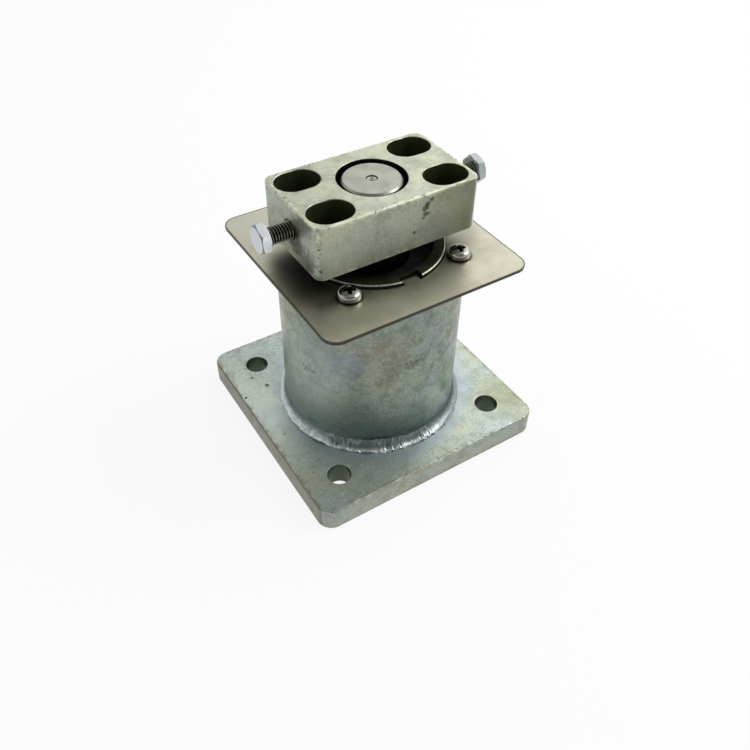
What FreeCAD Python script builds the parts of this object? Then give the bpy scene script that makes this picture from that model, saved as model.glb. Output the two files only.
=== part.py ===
"""Floor pivot hinge: a welded floor housing, a spindle in two bearings, and a slotted block for a door.

Millimetres, +Z up. The origin is the middle of the floor plate's underside, on the spindle's axis.
The block is long in X. Every piece is written at rest, with the block square to the floor plate.
"""
import FreeCAD, Part
import math
import os

V = FreeCAD.Vector
ORIGIN = V(0, 0, 0)
UP = V(0, 0, 1)

# How far a cutting shape runs past the faces that it opens
CUT_PAST = 1.0

# Floor plate
BASE_SIDE = 120.0
BASE_THICKNESS = 12.0
BASE_CORNER_R = 7.0
BASE_EDGE_R = 0.9
ANCHOR_SPACING = 85.0
ANCHOR_HOLE_R = 5.5
HOLE_CHAMFER = 0.25

# Tube and its weld
TUBE_R = 42.0
TUBE_HEIGHT = 86.0
TUBE_TOP_CHAMFER = 0.5
RING_THREAD_R = 32.5
RING_THREAD_RUNOUT = 1.0
WELD_LEG_OUT = 4.6
WELD_LEG_UP = 5.4
WELD_CROWN = 0.45

# Cover plate and its screws
COVER_SIDE = 99.0
COVER_THICKNESS = 1.2
COVER_CORNER_R = 7.0
COVER_OPENING_R = 32.8
COVER_SCREW_SPACING = 55.0
COVER_SCREW_HOLE_R = 2.75
TAB_WIDTH = 9.4
TAB_INNER = 28.7
SCREW_SHANK_R = 2.05
SCREW_TAP_R = 2.1
SCREW_LENGTH = 10.0
SCREW_TAP_DEPTH = 13.0
SCREW_HEAD_R = 5.0
SCREW_HEAD_HEIGHT = 4.5
SCREW_HEAD_SIDE = 2.0
SCREW_DOME_R = 9.0
SCREW_DOME_EDGE_R = 3.6
SCREW_CROSS_LENGTH = 5.4
SCREW_CROSS_WIDTH = 1.2
SCREW_CROSS_DEPTH = 2.4

# Notched lock ring, seal and the seal's spring
LIP_HEIGHT = 1.8
RING_HEIGHT = 15.0
RING_LIP_CHAMFER = 0.5
NOTCH_WIDTH = 10.0
NOTCH_INNER = 28.4
NOTCH_DEPTH = 4.0
SEAL_R = 27.5
SEAL_HEIGHT = 7.0
SEAL_LEDGE = 2.0
SEAL_LEDGE_R = 26.0
SEAL_WALL = 2.0
SEAL_WEB = 1.8
SEAL_LIP_CLEARANCE = 0.05
SEAL_LIP_LEAN = 2.4
SEAL_LIP_LOW = 2.1
SEAL_LIP_HIGH = 2.6
SEAL_TOE_OUT = 2.2
SEAL_TOE_LEVEL = 1.4
SEAL_SEAT_OUT = 2.6
SEAL_SEAT_LOW = 2.2
SEAL_SEAT_HIGH = 3.2
SEAL_NECK_OUT = 4.0
SEAL_SPRING_WIRE_R = 0.7
SEAL_SPRING_PLAY = 0.1

# Both bearings: bore, outside and height; the rolling elements run on one pitch circle
BEARING_BORE_R = 15.0
BEARING_OUTER_R = 31.0
BEARING_PITCH_R = 23.0
BEARING_CHAMFER = 0.8
BALL_BEARING_HEIGHT = 16.0
BALL_COUNT = 9
BALL_R = 4.75
RACE_GROOVE_R = 4.9
BALL_INNER_SHOULDER_R = 19.8
BALL_OUTER_SHOULDER_R = 26.2
BALL_CAGE_HALF_WIDTH = 1.6
BALL_CAGE_HALF_HEIGHT = 6.2
POCKET_PLAY = 0.2
ROLLER_COUNT = 15
ROLLER_LENGTH = 10.4
ROLLER_MEAN_R = 3.9
ROLLER_CLEARANCE = 0.08
ROLLER_TILT_DEG = 12.3
ROLLER_RISE = 0.5
CUP_HEIGHT = 14.0
CONE_HEIGHT = 16.0
TAPER_BEARING_HEIGHT = 17.25
CONE_RIB_R = 22.3
CONE_RIB_WIDTH = 3.5
CONE_SMALL_RIB_R = 18.9
CONE_SMALL_RIB_WIDTH = 1.35
ROLLER_CAGE_INNER = 0.4
ROLLER_CAGE_OUTER = 1.6
ROLLER_CAGE_END = 1.2
SEAT_HEIGHT = 8.0
SEAT_BORE_R = 20.0
SPACER_BORE_R = 27.0

# Spindle, key and snap ring
SPINDLE_COLLAR_R = 19.0
SPINDLE_TOP_R = 13.0
SPINDLE_FLOOR_GAP = 5.0
SPINDLE_RECESS = 0.5
SPINDLE_CHAMFER = 0.8
CENTRE_DRILL_R = 2.6
CENTRE_PILOT_R = 1.25
CENTRE_PILOT_DEPTH = 6.0
KEY_WIDTH = 8.0
KEY_HEIGHT = 7.0
KEY_LENGTH = 12.0
KEY_SINK = 4.0
KEYWAY_ROOM = 0.3
SNAP_WIRE_R = 1.0
SNAP_RING_R = 13.05
SNAP_GROOVE_R = 1.05
SNAP_GAP = 4.0
SNAP_PLAY = 0.1

# Door block and jack bolts
BLOCK_LENGTH = 78.0
BLOCK_WIDTH = 46.0
BLOCK_HEIGHT = 24.5
BLOCK_BOTTOM = 107.5
BLOCK_CORNER_R = 4.0
BLOCK_EDGE_R = 0.6
SLOT_LENGTH = 20.0
SLOT_WIDTH = 15.5
SLOT_SPACING_X = 55.0
SLOT_SPACING_Y = 27.0
SLOT_CHAMFER = 0.25
COUNTERBORE_R = 15.0
COUNTERBORE_DEPTH = 7.5
BOLT_R = 4.0
BOLT_HOLE_R = 4.05
BOLT_HOLE_DEPTH = 25.0
BOLT_HOLE_CHAMFER = 0.7
BOLT_LENGTH = 25.0
BOLT_TIP_CHAMFER = 1.0
BOLT_HEAD_FLATS = 12.0
BOLT_HEAD_HEIGHT = 4.3
BOLT_WASHER_R = 5.6
BOLT_WASHER_FACE = 0.3
BOLT_HEAD_CHAMFER_DEG = 30.0

# Each jack bolt is left at its own length out of the block, and at its own turn
LEFT_BOLT_EXPOSED = 10.4
LEFT_BOLT_TURN_DEG = -8.0
RIGHT_BOLT_EXPOSED = 13.2
RIGHT_BOLT_TURN_DEG = 30.0

# Heights and radii that follow from the sizes above
TUBE_BOTTOM = BASE_THICKNESS
TUBE_TOP = TUBE_BOTTOM + TUBE_HEIGHT
COVER_TOP = TUBE_TOP + COVER_THICKNESS
RING_TOP = COVER_TOP + LIP_HEIGHT
RING_BOTTOM = RING_TOP - RING_HEIGHT
SEAL_BOTTOM = RING_BOTTOM + SEAL_LEDGE
SEAL_TOP = SEAL_BOTTOM + SEAL_HEIGHT
SEAL_LIP_R = BEARING_BORE_R + SEAL_LIP_CLEARANCE
SEAL_SPRING_R = SEAL_LIP_R + SEAL_SEAT_OUT + SEAL_SPRING_WIRE_R + SEAL_SPRING_PLAY
SEAL_SPRING_LEVEL = SEAL_BOTTOM + (SEAL_SEAT_LOW + SEAL_SEAT_HIGH) / 2
BALL_BEARING_BOTTOM = RING_BOTTOM - BALL_BEARING_HEIGHT
BALL_LEVEL = RING_BOTTOM - BALL_BEARING_HEIGHT / 2
CUP_BOTTOM = TUBE_BOTTOM + SEAT_HEIGHT
CUP_TOP = CUP_BOTTOM + CUP_HEIGHT
CONE_TOP = CUP_BOTTOM + TAPER_BEARING_HEIGHT
CONE_BOTTOM = CONE_TOP - CONE_HEIGHT
BLOCK_TOP = BLOCK_BOTTOM + BLOCK_HEIGHT
COUNTERBORE_FLOOR = BLOCK_TOP - COUNTERBORE_DEPTH
SNAP_LEVEL = COUNTERBORE_FLOOR + SNAP_WIRE_R + SNAP_PLAY
SPINDLE_BOTTOM = TUBE_BOTTOM + SPINDLE_FLOOR_GAP
SPINDLE_TOP = BLOCK_TOP - SPINDLE_RECESS
KEY_MIDDLE = (BLOCK_BOTTOM + COUNTERBORE_FLOOR) / 2
BOLT_LEVEL = BLOCK_BOTTOM + BLOCK_HEIGHT / 2

# The rollers' cones meet in one point on the axis, below the bearing
ROLLER_TILT = math.radians(ROLLER_TILT_DEG)
ROLLER_LEVEL = CUP_BOTTOM + CUP_HEIGHT / 2 + ROLLER_RISE
ROLLER_REACH = BEARING_PITCH_R / math.sin(ROLLER_TILT)
ROLLER_HALF_ANGLE = math.atan(ROLLER_MEAN_R / ROLLER_REACH)
APEX_LEVEL = ROLLER_LEVEL - BEARING_PITCH_R / math.tan(ROLLER_TILT)


def revolved(profile):
    """Turn a closed outline of (radius, height) points about the Z axis."""
    points = [V(radius, 0, height) for radius, height in profile]
    face = Part.Face(Part.makePolygon(points + points[:1]))
    return face.revolve(ORIGIN, UP, 360)


def cylinder(radius, bottom, top, x=0.0, y=0.0):
    return Part.makeCylinder(radius, top - bottom, V(x, y, bottom))


def box(x_range, y_range, z_range):
    corner = V(x_range[0], y_range[0], z_range[0])
    return Part.makeBox(x_range[1] - x_range[0], y_range[1] - y_range[0], z_range[1] - z_range[0], corner)


def rounded_slab(length, width, bottom, top, corner_r):
    """A plate with rounded upright corners, centred on the Z axis."""
    slab = box((-length / 2, length / 2), (-width / 2, width / 2), (bottom, top))
    upright = [edge for edge in slab.Edges if edge.BoundBox.ZLength > 0.5 * (top - bottom)]
    return slab.makeFillet(corner_r, upright)


def long_slot(length, width, bottom, top, x=0.0, y=0.0):
    """An upright slot with round ends, long in X."""
    reach = (length - width) / 2
    middle = box((x - reach, x + reach), (y - width / 2, y + width / 2), (bottom, top))
    ends = [cylinder(width / 2, bottom, top, x + side * reach, y) for side in (-1, 1)]
    return middle.fuse(ends).removeSplitter()


def flat_edges(shape, level):
    """Edges that lie wholly in one level plane."""
    close = 1e-4
    return [edge for edge in shape.Edges
            if abs(edge.BoundBox.ZMin - level) < close and abs(edge.BoundBox.ZMax - level) < close]


def around_axis(shape, count):
    """Copies of a shape, spaced evenly round the Z axis."""
    copies = []
    for index in range(count):
        turned = shape.copy()
        turned.rotate(ORIGIN, UP, 360.0 * index / count)
        copies.append(turned)
    return copies


def corners(spacing_x, spacing_y):
    return [(sx * spacing_x / 2, sy * spacing_y / 2) for sx in (-1, 1) for sy in (-1, 1)]


def base_plate():
    plate = rounded_slab(BASE_SIDE, BASE_SIDE, 0, BASE_THICKNESS, BASE_CORNER_R)
    plate = plate.makeFillet(BASE_EDGE_R, flat_edges(plate, BASE_THICKNESS) + flat_edges(plate, 0))
    for x, y in corners(ANCHOR_SPACING, ANCHOR_SPACING):
        hole = cylinder(ANCHOR_HOLE_R, -CUT_PAST, BASE_THICKNESS + CUT_PAST, x, y)
        mouth = Part.makeCone(ANCHOR_HOLE_R, ANCHOR_HOLE_R + HOLE_CHAMFER, HOLE_CHAMFER,
                              V(x, y, BASE_THICKNESS - HOLE_CHAMFER))
        plate = plate.cut([hole, mouth])
    return plate


def housing_tube():
    thread_bottom = RING_BOTTOM - RING_THREAD_RUNOUT
    tube = revolved([
        (BEARING_OUTER_R, TUBE_BOTTOM), (TUBE_R, TUBE_BOTTOM), (TUBE_R, TUBE_TOP - TUBE_TOP_CHAMFER),
        (TUBE_R - TUBE_TOP_CHAMFER, TUBE_TOP), (RING_THREAD_R, TUBE_TOP),
        (RING_THREAD_R, thread_bottom), (BEARING_OUTER_R, thread_bottom)])
    taps = [cylinder(SCREW_TAP_R, TUBE_TOP - SCREW_TAP_DEPTH, TUBE_TOP + CUT_PAST, x, y)
            for x, y in corners(COVER_SCREW_SPACING, COVER_SCREW_SPACING)]
    return tube.cut(taps)


def base_weld():
    """Fillet weld with a slightly crowned face, between the plate's top and the tube's side."""
    root = V(TUBE_R, 0, TUBE_BOTTOM)
    toe = root + V(WELD_LEG_OUT, 0, 0)
    top = root + V(0, 0, WELD_LEG_UP)
    outward = V(WELD_LEG_UP, 0, WELD_LEG_OUT).normalize()
    crown = (toe + top) * 0.5 + outward * WELD_CROWN
    face = Part.Arc(toe, crown, top).toShape()
    outline = Part.Wire([Part.makeLine(root, toe), face, Part.makeLine(top, root)])
    return Part.Face(outline).revolve(ORIGIN, UP, 360)


def cover_plate():
    plate = rounded_slab(COVER_SIDE, COVER_SIDE, TUBE_TOP, COVER_TOP, COVER_CORNER_R)
    below, above = TUBE_TOP - CUT_PAST, COVER_TOP + CUT_PAST
    opening = cylinder(COVER_OPENING_R, below, above)
    tab = box((-TAB_WIDTH / 2, TAB_WIDTH / 2), (-COVER_SIDE / 2, -TAB_INNER),
              (below - CUT_PAST, above + CUT_PAST))
    holes = [cylinder(COVER_SCREW_HOLE_R, below, above, x, y)
             for x, y in corners(COVER_SCREW_SPACING, COVER_SCREW_SPACING)]
    return plate.cut([opening.cut(around_axis(tab, 4))] + holes)


def screw_dome(radius):
    """A point on the domed top of a screw head, at a distance from its axis."""
    drop = SCREW_DOME_R - math.sqrt(SCREW_DOME_R ** 2 - radius ** 2)
    return V(radius, 0, SCREW_HEAD_HEIGHT - drop)


def cover_screw():
    """Pan-head screw with a cross recess, standing on the origin."""
    axis_foot = V(0, 0, -SCREW_LENGTH)
    shank_foot = V(SCREW_SHANK_R, 0, -SCREW_LENGTH)
    shank_top = V(SCREW_SHANK_R, 0, 0)
    rim = V(SCREW_HEAD_R, 0, 0)
    side_top = V(SCREW_HEAD_R, 0, SCREW_HEAD_SIDE)
    dome_edge = screw_dome(SCREW_DOME_EDGE_R)
    crest = screw_dome(0)
    path = [axis_foot, shank_foot, shank_top, rim, side_top]
    lines = [Part.makeLine(a, b) for a, b in zip(path, path[1:])]
    turn_in = math.sqrt(0.5)
    shoulder = V(dome_edge.x + turn_in * (side_top.x - dome_edge.x), 0,
                 side_top.z + turn_in * (dome_edge.z - side_top.z))
    side_arc = Part.Arc(side_top, shoulder, dome_edge).toShape()
    dome_arc = Part.Arc(dome_edge, screw_dome(SCREW_DOME_EDGE_R / 2), crest).toShape()
    outline = Part.Wire(lines + [side_arc, dome_arc, Part.makeLine(crest, axis_foot)])
    screw = Part.Face(outline).revolve(ORIGIN, UP, 360)
    half_long = SCREW_CROSS_LENGTH / 2
    half_wide = SCREW_CROSS_WIDTH / 2
    depth = (SCREW_HEAD_HEIGHT - SCREW_CROSS_DEPTH, SCREW_HEAD_HEIGHT + CUT_PAST)
    across = box((-half_long, half_long), (-half_wide, half_wide), depth)
    along = box((-half_wide, half_wide), (-half_long, half_long), depth)
    return screw.cut([across, along])


def cover_screws():
    screws = []
    for x, y in corners(COVER_SCREW_SPACING, COVER_SCREW_SPACING):
        screw = cover_screw()
        screw.translate(V(x, y, COVER_TOP))
        screws.append(screw)
    return Part.makeCompound(screws)


def lock_ring():
    ring = revolved([
        (SEAL_LEDGE_R, RING_BOTTOM), (RING_THREAD_R, RING_BOTTOM),
        (RING_THREAD_R, RING_TOP - RING_LIP_CHAMFER), (RING_THREAD_R - RING_LIP_CHAMFER, RING_TOP),
        (SEAL_R, RING_TOP), (SEAL_R, SEAL_BOTTOM), (SEAL_LEDGE_R, SEAL_BOTTOM)])
    notch = box((-NOTCH_WIDTH / 2, NOTCH_WIDTH / 2), (-TUBE_R, -NOTCH_INNER),
                (RING_TOP - NOTCH_DEPTH, RING_TOP + CUT_PAST))
    return ring.cut(around_axis(notch, 4))


def shaft_seal():
    """Rubber seal: an outer wall, a flat web on top and a lip that leans in to the spindle."""
    web_bottom = SEAL_TOP - SEAL_WEB
    wall_r = SEAL_R - SEAL_WALL
    seat_r = SEAL_LIP_R + SEAL_SEAT_OUT
    return revolved([
        (SEAL_R, SEAL_BOTTOM), (SEAL_R, SEAL_TOP), (SEAL_LIP_R + SEAL_LIP_LEAN, SEAL_TOP),
        (SEAL_LIP_R, SEAL_BOTTOM + SEAL_LIP_HIGH), (SEAL_LIP_R, SEAL_BOTTOM + SEAL_LIP_LOW),
        (SEAL_LIP_R + SEAL_TOE_OUT, SEAL_BOTTOM + SEAL_TOE_LEVEL),
        (seat_r, SEAL_BOTTOM + SEAL_SEAT_LOW), (seat_r, SEAL_BOTTOM + SEAL_SEAT_HIGH),
        (SEAL_LIP_R + SEAL_NECK_OUT, web_bottom), (wall_r, web_bottom), (wall_r, SEAL_BOTTOM)])


def seal_spring():
    return Part.makeTorus(SEAL_SPRING_R, SEAL_SPRING_WIRE_R, V(0, 0, SEAL_SPRING_LEVEL))


def chamfered_ring(inner_r, outer_r, bottom, top, chamfer_inner, chamfer_outer):
    """A ring whose chosen corners are chamfered, for bearing races."""
    return revolved([
        (inner_r + chamfer_inner, bottom), (outer_r - chamfer_outer, bottom),
        (outer_r, bottom + chamfer_outer), (outer_r, top - chamfer_outer),
        (outer_r - chamfer_outer, top), (inner_r + chamfer_inner, top),
        (inner_r, top - chamfer_inner), (inner_r, bottom + chamfer_inner)])


def ball_groove():
    return Part.makeTorus(BEARING_PITCH_R, RACE_GROOVE_R, V(0, 0, BALL_LEVEL))


def upper_bearing_outer_ring():
    ring = chamfered_ring(BALL_OUTER_SHOULDER_R, BEARING_OUTER_R, BALL_BEARING_BOTTOM, RING_BOTTOM,
                          BEARING_CHAMFER / 4, BEARING_CHAMFER)
    return ring.cut(ball_groove())


def upper_bearing_inner_ring():
    ring = chamfered_ring(BEARING_BORE_R, BALL_INNER_SHOULDER_R, BALL_BEARING_BOTTOM, RING_BOTTOM,
                          BEARING_CHAMFER, BEARING_CHAMFER / 4)
    return ring.cut(ball_groove())


def upper_bearing_balls():
    ball = Part.makeSphere(BALL_R, V(BEARING_PITCH_R, 0, BALL_LEVEL))
    return Part.makeCompound(around_axis(ball, BALL_COUNT))


def upper_bearing_cage():
    """Turned brass ring with one round pocket drilled straight through for each ball."""
    inner_r = BEARING_PITCH_R - BALL_CAGE_HALF_WIDTH
    outer_r = BEARING_PITCH_R + BALL_CAGE_HALF_WIDTH
    bottom = BALL_LEVEL - BALL_CAGE_HALF_HEIGHT
    top = BALL_LEVEL + BALL_CAGE_HALF_HEIGHT
    ring = revolved([(inner_r, bottom), (outer_r, bottom), (outer_r, top), (inner_r, top)])
    start = V(BEARING_PITCH_R - BALL_R, 0, BALL_LEVEL)
    pocket = Part.makeCylinder(BALL_R + POCKET_PLAY, 2 * BALL_R, start, V(1, 0, 0))
    return ring.cut(around_axis(pocket, BALL_COUNT))


def bearing_spacer():
    return revolved([
        (SPACER_BORE_R, CUP_TOP), (BEARING_OUTER_R, CUP_TOP), (BEARING_OUTER_R, BALL_BEARING_BOTTOM),
        (SPACER_BORE_R, BALL_BEARING_BOTTOM)])


def on_cone(angle, height):
    """Radius at a height on a cone about the Z axis that starts at the rollers' common point."""
    return (height - APEX_LEVEL) * math.tan(angle)


def along_roller(reach, offset):
    """(radius, height) of a point on the roller's axis at a reach from the common point, offset outward."""
    radius = reach * math.sin(ROLLER_TILT) + offset * math.cos(ROLLER_TILT)
    height = APEX_LEVEL + reach * math.cos(ROLLER_TILT) - offset * math.sin(ROLLER_TILT)
    return radius, height


def lower_bearing_cup():
    race = ROLLER_TILT + ROLLER_HALF_ANGLE
    c = BEARING_CHAMFER
    return revolved([
        (on_cone(race, CUP_BOTTOM), CUP_BOTTOM), (BEARING_OUTER_R - c, CUP_BOTTOM),
        (BEARING_OUTER_R, CUP_BOTTOM + c), (BEARING_OUTER_R, CUP_TOP - c),
        (BEARING_OUTER_R - c, CUP_TOP), (on_cone(race, CUP_TOP), CUP_TOP)])


def lower_bearing_cone():
    race = ROLLER_TILT - ROLLER_HALF_ANGLE
    race_bottom = CONE_BOTTOM + CONE_SMALL_RIB_WIDTH
    race_top = CONE_TOP - CONE_RIB_WIDTH
    c = BEARING_CHAMFER
    return revolved([
        (BEARING_BORE_R + c, CONE_BOTTOM), (CONE_SMALL_RIB_R, CONE_BOTTOM), (CONE_SMALL_RIB_R, race_bottom),
        (on_cone(race, race_bottom), race_bottom), (on_cone(race, race_top), race_top),
        (CONE_RIB_R, race_top), (CONE_RIB_R, CONE_TOP - c), (CONE_RIB_R - c, CONE_TOP),
        (BEARING_BORE_R + c, CONE_TOP),
        (BEARING_BORE_R, CONE_TOP - c), (BEARING_BORE_R, CONE_BOTTOM + c)])


def rollers(length, play):
    """Taper rollers round the axis. A positive play makes them thicker, a negative one thinner."""
    near = ROLLER_REACH - length / 2
    far = ROLLER_REACH + length / 2
    slope = math.tan(ROLLER_HALF_ANGLE)
    radius, height = along_roller(near, 0)
    direction = V(math.sin(ROLLER_TILT), 0, math.cos(ROLLER_TILT))
    roller = Part.makeCone(near * slope + play, far * slope + play, length, V(radius, 0, height), direction)
    return around_axis(roller, ROLLER_COUNT)


def lower_bearing_rollers():
    return Part.makeCompound(rollers(ROLLER_LENGTH, -ROLLER_CLEARANCE))


def lower_bearing_cage():
    near = ROLLER_REACH - ROLLER_LENGTH / 2 - ROLLER_CAGE_END
    far = ROLLER_REACH + ROLLER_LENGTH / 2 + ROLLER_CAGE_END
    shell = revolved([
        along_roller(near, ROLLER_CAGE_INNER), along_roller(near, ROLLER_CAGE_OUTER),
        along_roller(far, ROLLER_CAGE_OUTER), along_roller(far, ROLLER_CAGE_INNER)])
    return shell.cut(rollers(ROLLER_LENGTH + POCKET_PLAY, POCKET_PLAY))


def bearing_seat():
    return revolved([
        (SEAT_BORE_R, TUBE_BOTTOM), (BEARING_OUTER_R, TUBE_BOTTOM), (BEARING_OUTER_R, CUP_BOTTOM),
        (SEAT_BORE_R, CUP_BOTTOM)])


def key_shape(length, foot, head):
    """A round-ended key lying against +Y, upright, between two distances from the axis."""
    key = long_slot(length, KEY_WIDTH, foot, head)
    key.rotate(ORIGIN, V(0, 1, 0), 90)
    key.rotate(ORIGIN, UP, 90)
    key.translate(V(0, 0, KEY_MIDDLE))
    return key


def spindle():
    c = SPINDLE_CHAMFER
    shaft = revolved([
        (0, SPINDLE_BOTTOM), (BEARING_BORE_R - c, SPINDLE_BOTTOM), (BEARING_BORE_R, SPINDLE_BOTTOM + c),
        (BEARING_BORE_R, CONE_TOP), (SPINDLE_COLLAR_R, CONE_TOP), (SPINDLE_COLLAR_R, BALL_BEARING_BOTTOM),
        (BEARING_BORE_R, BALL_BEARING_BOTTOM), (BEARING_BORE_R, BLOCK_BOTTOM), (SPINDLE_TOP_R, BLOCK_BOTTOM),
        (SPINDLE_TOP_R, SPINDLE_TOP - c), (SPINDLE_TOP_R - c, SPINDLE_TOP), (0, SPINDLE_TOP)])
    groove = Part.makeTorus(SNAP_RING_R, SNAP_GROOVE_R, V(0, 0, SNAP_LEVEL))
    drill_depth = (CENTRE_DRILL_R - CENTRE_PILOT_R) * math.sqrt(3)
    drill = Part.makeCone(CENTRE_PILOT_R, CENTRE_DRILL_R, drill_depth, V(0, 0, SPINDLE_TOP - drill_depth))
    pilot = cylinder(CENTRE_PILOT_R, SPINDLE_TOP - CENTRE_PILOT_DEPTH, SPINDLE_TOP)
    keyway = key_shape(KEY_LENGTH, SPINDLE_TOP_R - KEY_SINK, SPINDLE_TOP_R + CUT_PAST)
    return shaft.cut([groove, drill, pilot, keyway])


def drive_key():
    foot = SPINDLE_TOP_R - KEY_SINK
    return key_shape(KEY_LENGTH, foot, foot + KEY_HEIGHT)


def snap_ring():
    ring = Part.makeTorus(SNAP_RING_R, SNAP_WIRE_R, V(0, 0, SNAP_LEVEL))
    gap = box((-SNAP_GAP / 2, SNAP_GAP / 2), (0, 2 * SNAP_RING_R), (COUNTERBORE_FLOOR, BLOCK_TOP))
    return ring.cut(gap)


def clear_of_outline(bounds):
    """Whether an edge on the block's top belongs to a slot or the counterbore, not to the outer edge."""
    reach_x = max(-bounds.XMin, bounds.XMax)
    reach_y = max(-bounds.YMin, bounds.YMax)
    return reach_x < BLOCK_LENGTH / 2 - 1.5 * BLOCK_EDGE_R and reach_y < BLOCK_WIDTH / 2 - 1.5 * BLOCK_EDGE_R


def door_block():
    block = rounded_slab(BLOCK_LENGTH, BLOCK_WIDTH, BLOCK_BOTTOM, BLOCK_TOP, BLOCK_CORNER_R)
    block = block.makeFillet(BLOCK_EDGE_R, flat_edges(block, BLOCK_TOP) + flat_edges(block, BLOCK_BOTTOM))
    below, above = BLOCK_BOTTOM - CUT_PAST, BLOCK_TOP + CUT_PAST
    cuts = [long_slot(SLOT_LENGTH, SLOT_WIDTH, below, above, x, y)
            for x, y in corners(SLOT_SPACING_X, SLOT_SPACING_Y)]
    cuts.append(cylinder(SPINDLE_TOP_R, below, above))
    cuts.append(cylinder(COUNTERBORE_R, COUNTERBORE_FLOOR, above))
    keyway_top = SPINDLE_TOP_R - KEY_SINK + KEY_HEIGHT + KEYWAY_ROOM
    cuts.append(box((-KEY_WIDTH / 2, KEY_WIDTH / 2), (0, keyway_top), (below, COUNTERBORE_FLOOR + CUT_PAST)))
    for side in (-1, 1):
        face = V(side * BLOCK_LENGTH / 2, 0, BOLT_LEVEL)
        inward = V(-side, 0, 0)
        mouth_r = BOLT_HOLE_R + BOLT_HOLE_CHAMFER
        start = face - inward * CUT_PAST
        cuts.append(Part.makeCylinder(BOLT_HOLE_R, BOLT_HOLE_DEPTH + CUT_PAST, start, inward))
        cuts.append(Part.makeCone(mouth_r, BOLT_HOLE_R, BOLT_HOLE_CHAMFER, face, inward))
    block = block.cut(cuts)
    rims = [edge for edge in flat_edges(block, BLOCK_TOP) if clear_of_outline(edge.BoundBox)]
    return block.makeChamfer(SLOT_CHAMFER, rims)


def jack_bolt(side, exposed, turn_deg):
    """Hex bolt along X with its head outside the block; side is -1 for the left end and 1 for the right."""
    head_foot = exposed
    hex_foot = head_foot + BOLT_WASHER_FACE
    head_top = head_foot + BOLT_HEAD_HEIGHT
    tip = head_foot - BOLT_LENGTH
    corner_r = BOLT_HEAD_FLATS / math.sqrt(3)
    turns = [math.radians(turn_deg + 60 * corner) for corner in range(6)]
    points = [V(corner_r * math.cos(turn), corner_r * math.sin(turn), hex_foot) for turn in turns]
    hexagon = Part.Face(Part.makePolygon(points + points[:1])).extrude(V(0, 0, head_top - hex_foot))
    drop = (corner_r - BOLT_WASHER_R) * math.tan(math.radians(BOLT_HEAD_CHAMFER_DEG))
    envelope = revolved([
        (0, hex_foot), (corner_r, hex_foot), (corner_r, head_top - drop), (BOLT_WASHER_R, head_top),
        (0, head_top)])
    shank = revolved([
        (0, tip), (BOLT_R - BOLT_TIP_CHAMFER, tip), (BOLT_R, tip + BOLT_TIP_CHAMFER), (BOLT_R, head_foot),
        (BOLT_WASHER_R, head_foot), (BOLT_WASHER_R, hex_foot), (0, hex_foot)])
    bolt = hexagon.common(envelope).fuse(shank).removeSplitter()
    bolt.rotate(ORIGIN, V(0, 1, 0), side * 90)
    bolt.translate(V(side * BLOCK_LENGTH / 2, 0, BOLT_LEVEL))
    return bolt


PIECES = {
    "base_plate": base_plate(),
    "housing_tube": housing_tube(),
    "base_weld": base_weld(),
    "cover_plate": cover_plate(),
    "cover_screws": cover_screws(),
    "lock_ring": lock_ring(),
    "shaft_seal": shaft_seal(),
    "seal_spring": seal_spring(),
    "upper_bearing_outer_ring": upper_bearing_outer_ring(),
    "upper_bearing_inner_ring": upper_bearing_inner_ring(),
    "upper_bearing_balls": upper_bearing_balls(),
    "upper_bearing_cage": upper_bearing_cage(),
    "bearing_spacer": bearing_spacer(),
    "lower_bearing_cup": lower_bearing_cup(),
    "lower_bearing_cone": lower_bearing_cone(),
    "lower_bearing_rollers": lower_bearing_rollers(),
    "lower_bearing_cage": lower_bearing_cage(),
    "bearing_seat": bearing_seat(),
    "spindle": spindle(),
    "drive_key": drive_key(),
    "snap_ring": snap_ring(),
    "door_block": door_block(),
    "jack_bolt_left": jack_bolt(-1, LEFT_BOLT_EXPOSED, LEFT_BOLT_TURN_DEG),
    "jack_bolt_right": jack_bolt(1, RIGHT_BOLT_EXPOSED, RIGHT_BOLT_TURN_DEG),
}

os.makedirs("parts", exist_ok=True)
for node, shape in PIECES.items():
    shape.exportStep(f"parts/{node}.step")
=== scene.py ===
"""Looks of the floor pivot hinge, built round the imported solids, in metres, in the same frame."""

import math
from types import SimpleNamespace

import bpy
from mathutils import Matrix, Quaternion, Vector


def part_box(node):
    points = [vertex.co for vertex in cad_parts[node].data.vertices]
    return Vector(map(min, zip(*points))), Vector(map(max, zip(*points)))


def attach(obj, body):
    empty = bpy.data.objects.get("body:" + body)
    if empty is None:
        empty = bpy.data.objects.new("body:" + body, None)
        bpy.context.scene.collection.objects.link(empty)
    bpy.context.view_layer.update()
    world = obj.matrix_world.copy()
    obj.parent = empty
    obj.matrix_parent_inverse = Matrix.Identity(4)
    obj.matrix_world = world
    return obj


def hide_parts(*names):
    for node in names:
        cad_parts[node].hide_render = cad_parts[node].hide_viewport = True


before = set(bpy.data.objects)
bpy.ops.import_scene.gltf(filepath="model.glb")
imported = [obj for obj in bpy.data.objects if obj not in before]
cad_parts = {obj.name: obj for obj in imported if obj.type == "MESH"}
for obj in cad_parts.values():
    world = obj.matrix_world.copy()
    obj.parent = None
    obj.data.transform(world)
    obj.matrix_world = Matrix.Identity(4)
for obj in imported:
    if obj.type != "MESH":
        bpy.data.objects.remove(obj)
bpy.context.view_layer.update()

# Floor plate
# A square of 12 mm steel, cut to size with rounded corners and drilled for four floor anchors.
# It is zinc plated after welding: cloudy blue to olive, scuffed, and heated blue round the tube.

MM = 0.001


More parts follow.
